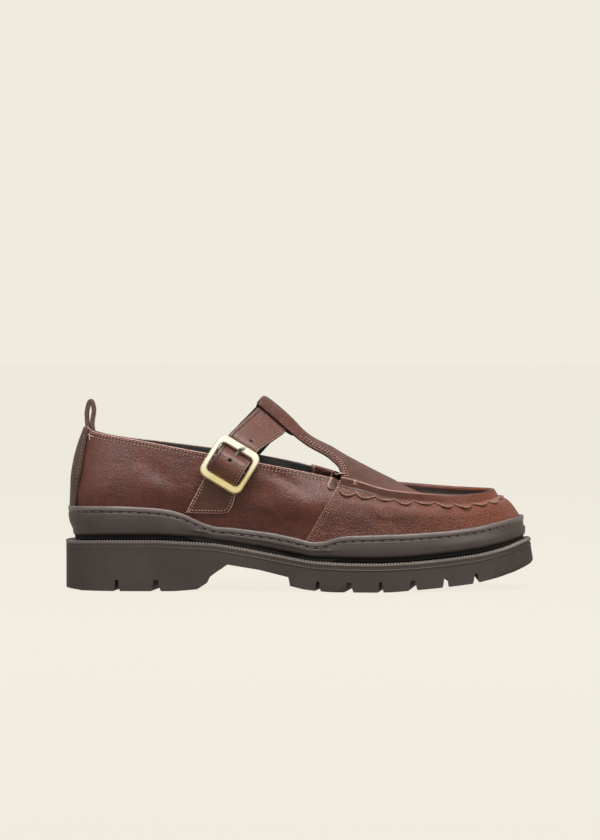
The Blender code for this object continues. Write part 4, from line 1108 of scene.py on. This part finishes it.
PRONG = (
    # along, out, aside, radius: millimetres from the centre bar along the strap, out from the foot, and aside
    (0.0, 0.6, 0.0, 0.85), (3.0, 0.7, 0.0, 0.9), (7.0, 0.8, 0.0, 1.0), (9.6, 1.2, 0.2, 1.1),
    (10.9, 2.8, 0.6, 1.2), (11.8, 3.6, 1.1, 1.25), (12.8, 3.6, 1.7, 1.2), (13.6, 3.3, 2.1, 1.0),
    (14.0, 3.0, 2.3, 0.3),
)
PRONG_SIDES = 12
PRONG_FLATNESS = 0.85
turns = np.linspace(0, 2 * math.pi, PRONG_SIDES, endpoint=False)
section = np.outer(np.cos(turns), buckle_across) + np.outer(np.sin(turns), buckle_out) * PRONG_FLATNESS
prong_rows = []
for along, out, aside, radius in through(PRONG, 3) * MM:
    centre = buckle_middle + buckle_across * (0.2 * MM + aside) + buckle_up * along + buckle_out * out
    prong_rows.append(centre + radius * section)
prong = sheet(prong_rows, closed=True)
bmesh.ops.holes_fill(prong, edges=prong.edges, sides=PRONG_SIDES)
bmesh.ops.recalc_face_normals(prong, faces=prong.faces)
steel, _, _ = solid_finish("grey green plated prong", "#8D8E80", 0.30, Metallic=0.8)
piece(prong, "buckle_prong_pin", [steel], ["buckle_prong"])

# ---------------------------------------------------------------- buckle tab
# A leather tab sewn to the outer quarter, whose end leaves the quarter and ends behind the buckle's bar. Its
# three sewn edges are cut raw and stitched, and its lower front corner is rounded.

TAB = (
    # rear_x, rear_z, front_x, front_z, free: millimetres, and 1 where it has left the quarter for the bar
    (77.3, 49.4, 100.4, 49.0, 0.0), (78.5, 51.4, 104.2, 49.9, 0.0), (81.0, 56.0, 106.6, 53.2, 0.0),
    (84.6, 62.8, 108.2, 57.8, 0.0), (88.2, 69.4, 109.4, 62.4, 0.1), (92.6, 76.4, 111.4, 67.0, 0.35),
    (96.0, 82.0, 113.6, 73.4, 0.7),
)
TAB_STEPS, TAB_COLUMNS = 8, 48  # mesh rows to one row above, and columns
TAB_OFF, TAB_BEHIND = 1.9 * MM, 0.8 * MM  # it stands off the quarter's skin, and ends behind the bar's middle
TAB_INSET = 1.8 * MM  # of the stitches
SEWN = 4 * TAB_STEPS  # mesh rows that are sewn down
tab_rows = []
for rear_x, rear_z, front_x, front_z, free in TAB:
    row = []
    for x, z in np.linspace((rear_x, rear_z), (front_x, front_z), TAB_COLUMNS + 1) * MM:
        on = from_side(quarter_skin, HEEL_BACK + x, z)[0]
        y = on.y - TAB_OFF if on else buckle_middle[1]
        row.append((HEEL_BACK + x, (1 - free) * y + free * (buckle_middle[1] + TAB_BEHIND), z))
    tab_rows.append(row)
tab_rows = through(np.array(tab_rows), TAB_STEPS)
tab_leather = leather("tab leather", "#64392D", "#74432F", "#3E221A", 0.06 * MM, 0.40)
pale_edge = raw_edge("pale raw edge", "#C9A08C", "#8A5A48")
tab = sheet(tab_rows)
tab_skin = BVHTree.FromBMesh(tab)
for number, face in enumerate(tab.faces):
    row, column = divmod(number, TAB_COLUMNS)
    paint([face], int(column in (0, TAB_COLUMNS - 1) or row < 2))
piece(
    tab, "buckle_tab_leather", [tab_leather, pale_edge], ["buckle_tab"],
    thickness=1.2 * MM, rim=1,
)
outline = np.concatenate((tab_rows[SEWN::-1, 0], tab_rows[0, 1:-1], tab_rows[:SEWN, -1]))
inwards = np.cross(unit(np.gradient(outline, axis=0)), (0, -1, 0))
tab_middle = tab_rows[: 5 * TAB_STEPS].reshape(-1, 3).mean(axis=0)
inwards *= np.sign(np.sum((tab_middle - outline) * inwards, axis=1))[:, None]
line = laid(eased(outline + inwards * TAB_INSET, 6), tab_skin, 0.08 * MM)
sew("tab_stitches", line, 2.0, 1.4, 0.32, pale_thread, stitch_shade)

# ---------------------------------------------------------------- heel stay and pull loop
# A leather stay covers the heel seam. The pull loop is a doubled strip that comes out of its top, turns over
# and goes down inside, and is tacked at its base with a few crossing threads.

STAY_TOP, STAY_FOOT = (13.1, 97.8), (6.7, 54.0)  # millimetres: a line along the stay's front edge
STAY_OFF = 1.5 * MM  # its face off the shoe's skin
STAY_SEAM = 46 * MM  # length of its rows of stitches
LOOP = (
    # x, z: millimetres, on the middle of the strip
    (14.3, 97.0), (14.0, 101.0), (13.7, 103.6), (13.4, 106.2), (13.2, 109.3), (13.2, 112.6), (13.6, 115.2),
    (14.1, 117.2), (14.7, 118.9), (15.6, 119.9), (16.6, 119.1), (17.1, 117.3), (17.6, 115.2), (17.6, 112.8),
    (17.2, 110.3), (16.7, 107.2), (16.6, 104.2), (17.0, 101.0), (17.2, 97.5), (16.6, 92.5),
)
LOOP_HALF_WIDTH, LOOP_THICKNESS = 5 * MM, 2.6 * MM
BARTACK = (
    # two ends of each crossing thread, as x and z in millimetres
    ((12.6, 100.2), (17.2, 97.0)), ((14.4, 102.8), (17.6, 96.6)), ((13.2, 97.4), (17.8, 99.8)),
    ((15.2, 99.0), (15.9, 94.6)), ((13.0, 104.0), (16.6, 100.8)),
)


def single_thread(name, ends, radius, finish):
    """One thread from end to end, over leather that faces the outer side."""
    run = np.linalg.norm(np.subtract(*ends)) / MM
    sew(name, np.array([(*end, 0, -1, 0) for end in ends]), run, run, radius, finish)


brown_thread = thread("brown thread", "#A08070")
stay_point, stay_slope, stay_ahead = side_line(STAY_TOP, STAY_FOOT)
stay = sheet(plain_rows + vamp_out * STAY_OFF, closed=True)
stay_skin = BVHTree.FromBMesh(stay)
cut(stay, stay_point, stay_ahead)
stay_leather = leather("dark stay leather", "#4E332A", "#5B3B2F", "#2F1C16", 0.06 * MM, 0.45)
piece(stay, "heel_stay", [stay_leather, dark_edge_and_shade], thickness=1.4 * MM, rim=1)
for side, name in SIDES:
    start, shares = stay_point - stay_ahead * 1.3 * MM, np.linspace(0.02, 0.99, 50)
    line = up_side(stay_skin, side, start, stay_slope * STAY_SEAM, shares, 0.08 * MM)
    sew("stay_stitches_" + name, line, 2.2, 1.5, 0.34, brown_thread, stitch_shade)

loop_line = through(LOOP, 6) * MM
slope = unit(np.gradient(loop_line, axis=0))
loop_face = loop_line + np.column_stack((-slope[:, 1], slope[:, 0])) * LOOP_THICKNESS / 2
across = np.linspace(LOOP_HALF_WIDTH, -LOOP_HALF_WIDTH, 11)
loop = sheet([[(HEEL_BACK + x, HEEL_Y + y, z) for y in across] for x, z in loop_face])
loop_leather = leather("pull loop leather", "#5C4034", "#6B4A3A", "#3A241C", 0.06 * MM, 0.5)
loop_edge = raw_edge("pull loop edge", "#6E5243", "#3A261E")
piece(
    loop, "pull_loop", [loop_leather, loop_edge], ["backstrap"],
    thickness=LOOP_THICKNESS, rim=1, bevel=0.3 * MM,
)
for number, pair in enumerate(BARTACK):
    ends = []
    for x, z in pair:
        on = from_side(quarter_skin, HEEL_BACK + x * MM, z * MM)[0]
        y = on.y - 0.9 * MM if on else HEEL_Y - LOOP_HALF_WIDTH - 0.4 * MM
        ends.append((HEEL_BACK + x * MM, y, z * MM))
    single_thread("bartack_thread_%d" % number, ends, 0.42, tan_thread)

# ---------------------------------------------------------------- throat facings
# A strip of the vamp's leather is folded over the topline at each corner of the throat. The outer one curls
# forward into the ridge, and two crossing threads hold the ridge's end.

FACING = (
    # out, up: millimetres from the folded topline, over it and down inside
    (0.7, -3.2), (0.85, -1.2), (0.65, 0.3), (-0.1, 0.95), (-1.0, 1.0), (-1.9, 0.5), (-2.3, -0.8),
    (-2.5, -3.5), (-2.6, -9.0),
)
FACING_FROM = 157 * MM  # from the heel's back
FACING_EDGE = 1.6 * MM  # width of its cut edge
CURL = (
    # x, z: millimetres, on the curl's rear edge from its top
    (173.2, 74.2), (171.0, 73.3), (169.2, 71.4), (167.6, 69.0), (167.0, 66.6), (168.0, 65.0),
)
CURL_ACROSS = (
    # ahead of the rear edge, lift: millimetres
    (0.0, 1.2), (0.9, 1.9), (1.4, 2.0), (2.6, 1.5), (4.2, 0.7), (6.0, 0.1),
)
CROSS_AT = 9 * MM  # of the crossing threads, along the seam from the outer throat corner
columns = [
    column for column in range(FINE * THROAT_INNER - 2, FINE * (THROAT_INNER + 4))
    if top[column, 0] > HEEL_BACK + FACING_FROM
]
facing = sheet([
    top[columns] + (top_out[columns] * out + rise[columns] * up) * MM for out, up in through(FACING, 2)
])
edge_x = HEEL_BACK + FACING_FROM + FACING_EDGE
paint((face for face in facing.faces if face.calc_center_median().x < edge_x), 1)
piece(facing, "inner_throat_facing", [vamp_leather, frill_edge], thickness=0.9 * MM, rim=1)

curl_rows = []
for x, z in through(CURL, 4)[::-1]:
    row = []
    for ahead, lift in CURL_ACROSS:
        place = HEEL_BACK + (x + ahead) * MM
        on = from_side(quarter_skin, place, z * MM)[0]
        row.append((place, (on.y if on else top[FINE * THROAT_OUTER, 1]) - lift * MM, z * MM))
    curl_rows.append(row)
curl = sheet(curl_rows)
for number, face in enumerate(curl.faces):
    paint([face], int(number % (len(CURL_ACROSS) - 1) == 0))
curl_edge = raw_edge("curl raw edge", "#CBA795", "#8E6656")
piece(curl, "outer_throat_curl", [stay_leather, curl_edge], thickness=1.0 * MM, rim=1)

at = int(CROSS_AT / RIDGE_SPACING)
middle = seam[at] + seam_out[at] * 1.75 * MM
for number, lean in enumerate((-1, 1)):
    ends = [middle + (lean * end * 1.1 * MM, 0, (4.3 + end * 1.9) * MM) for end in (-1, 1)]
    single_thread("ridge_cross_thread_%d" % number, ends, 0.40, pale_thread)
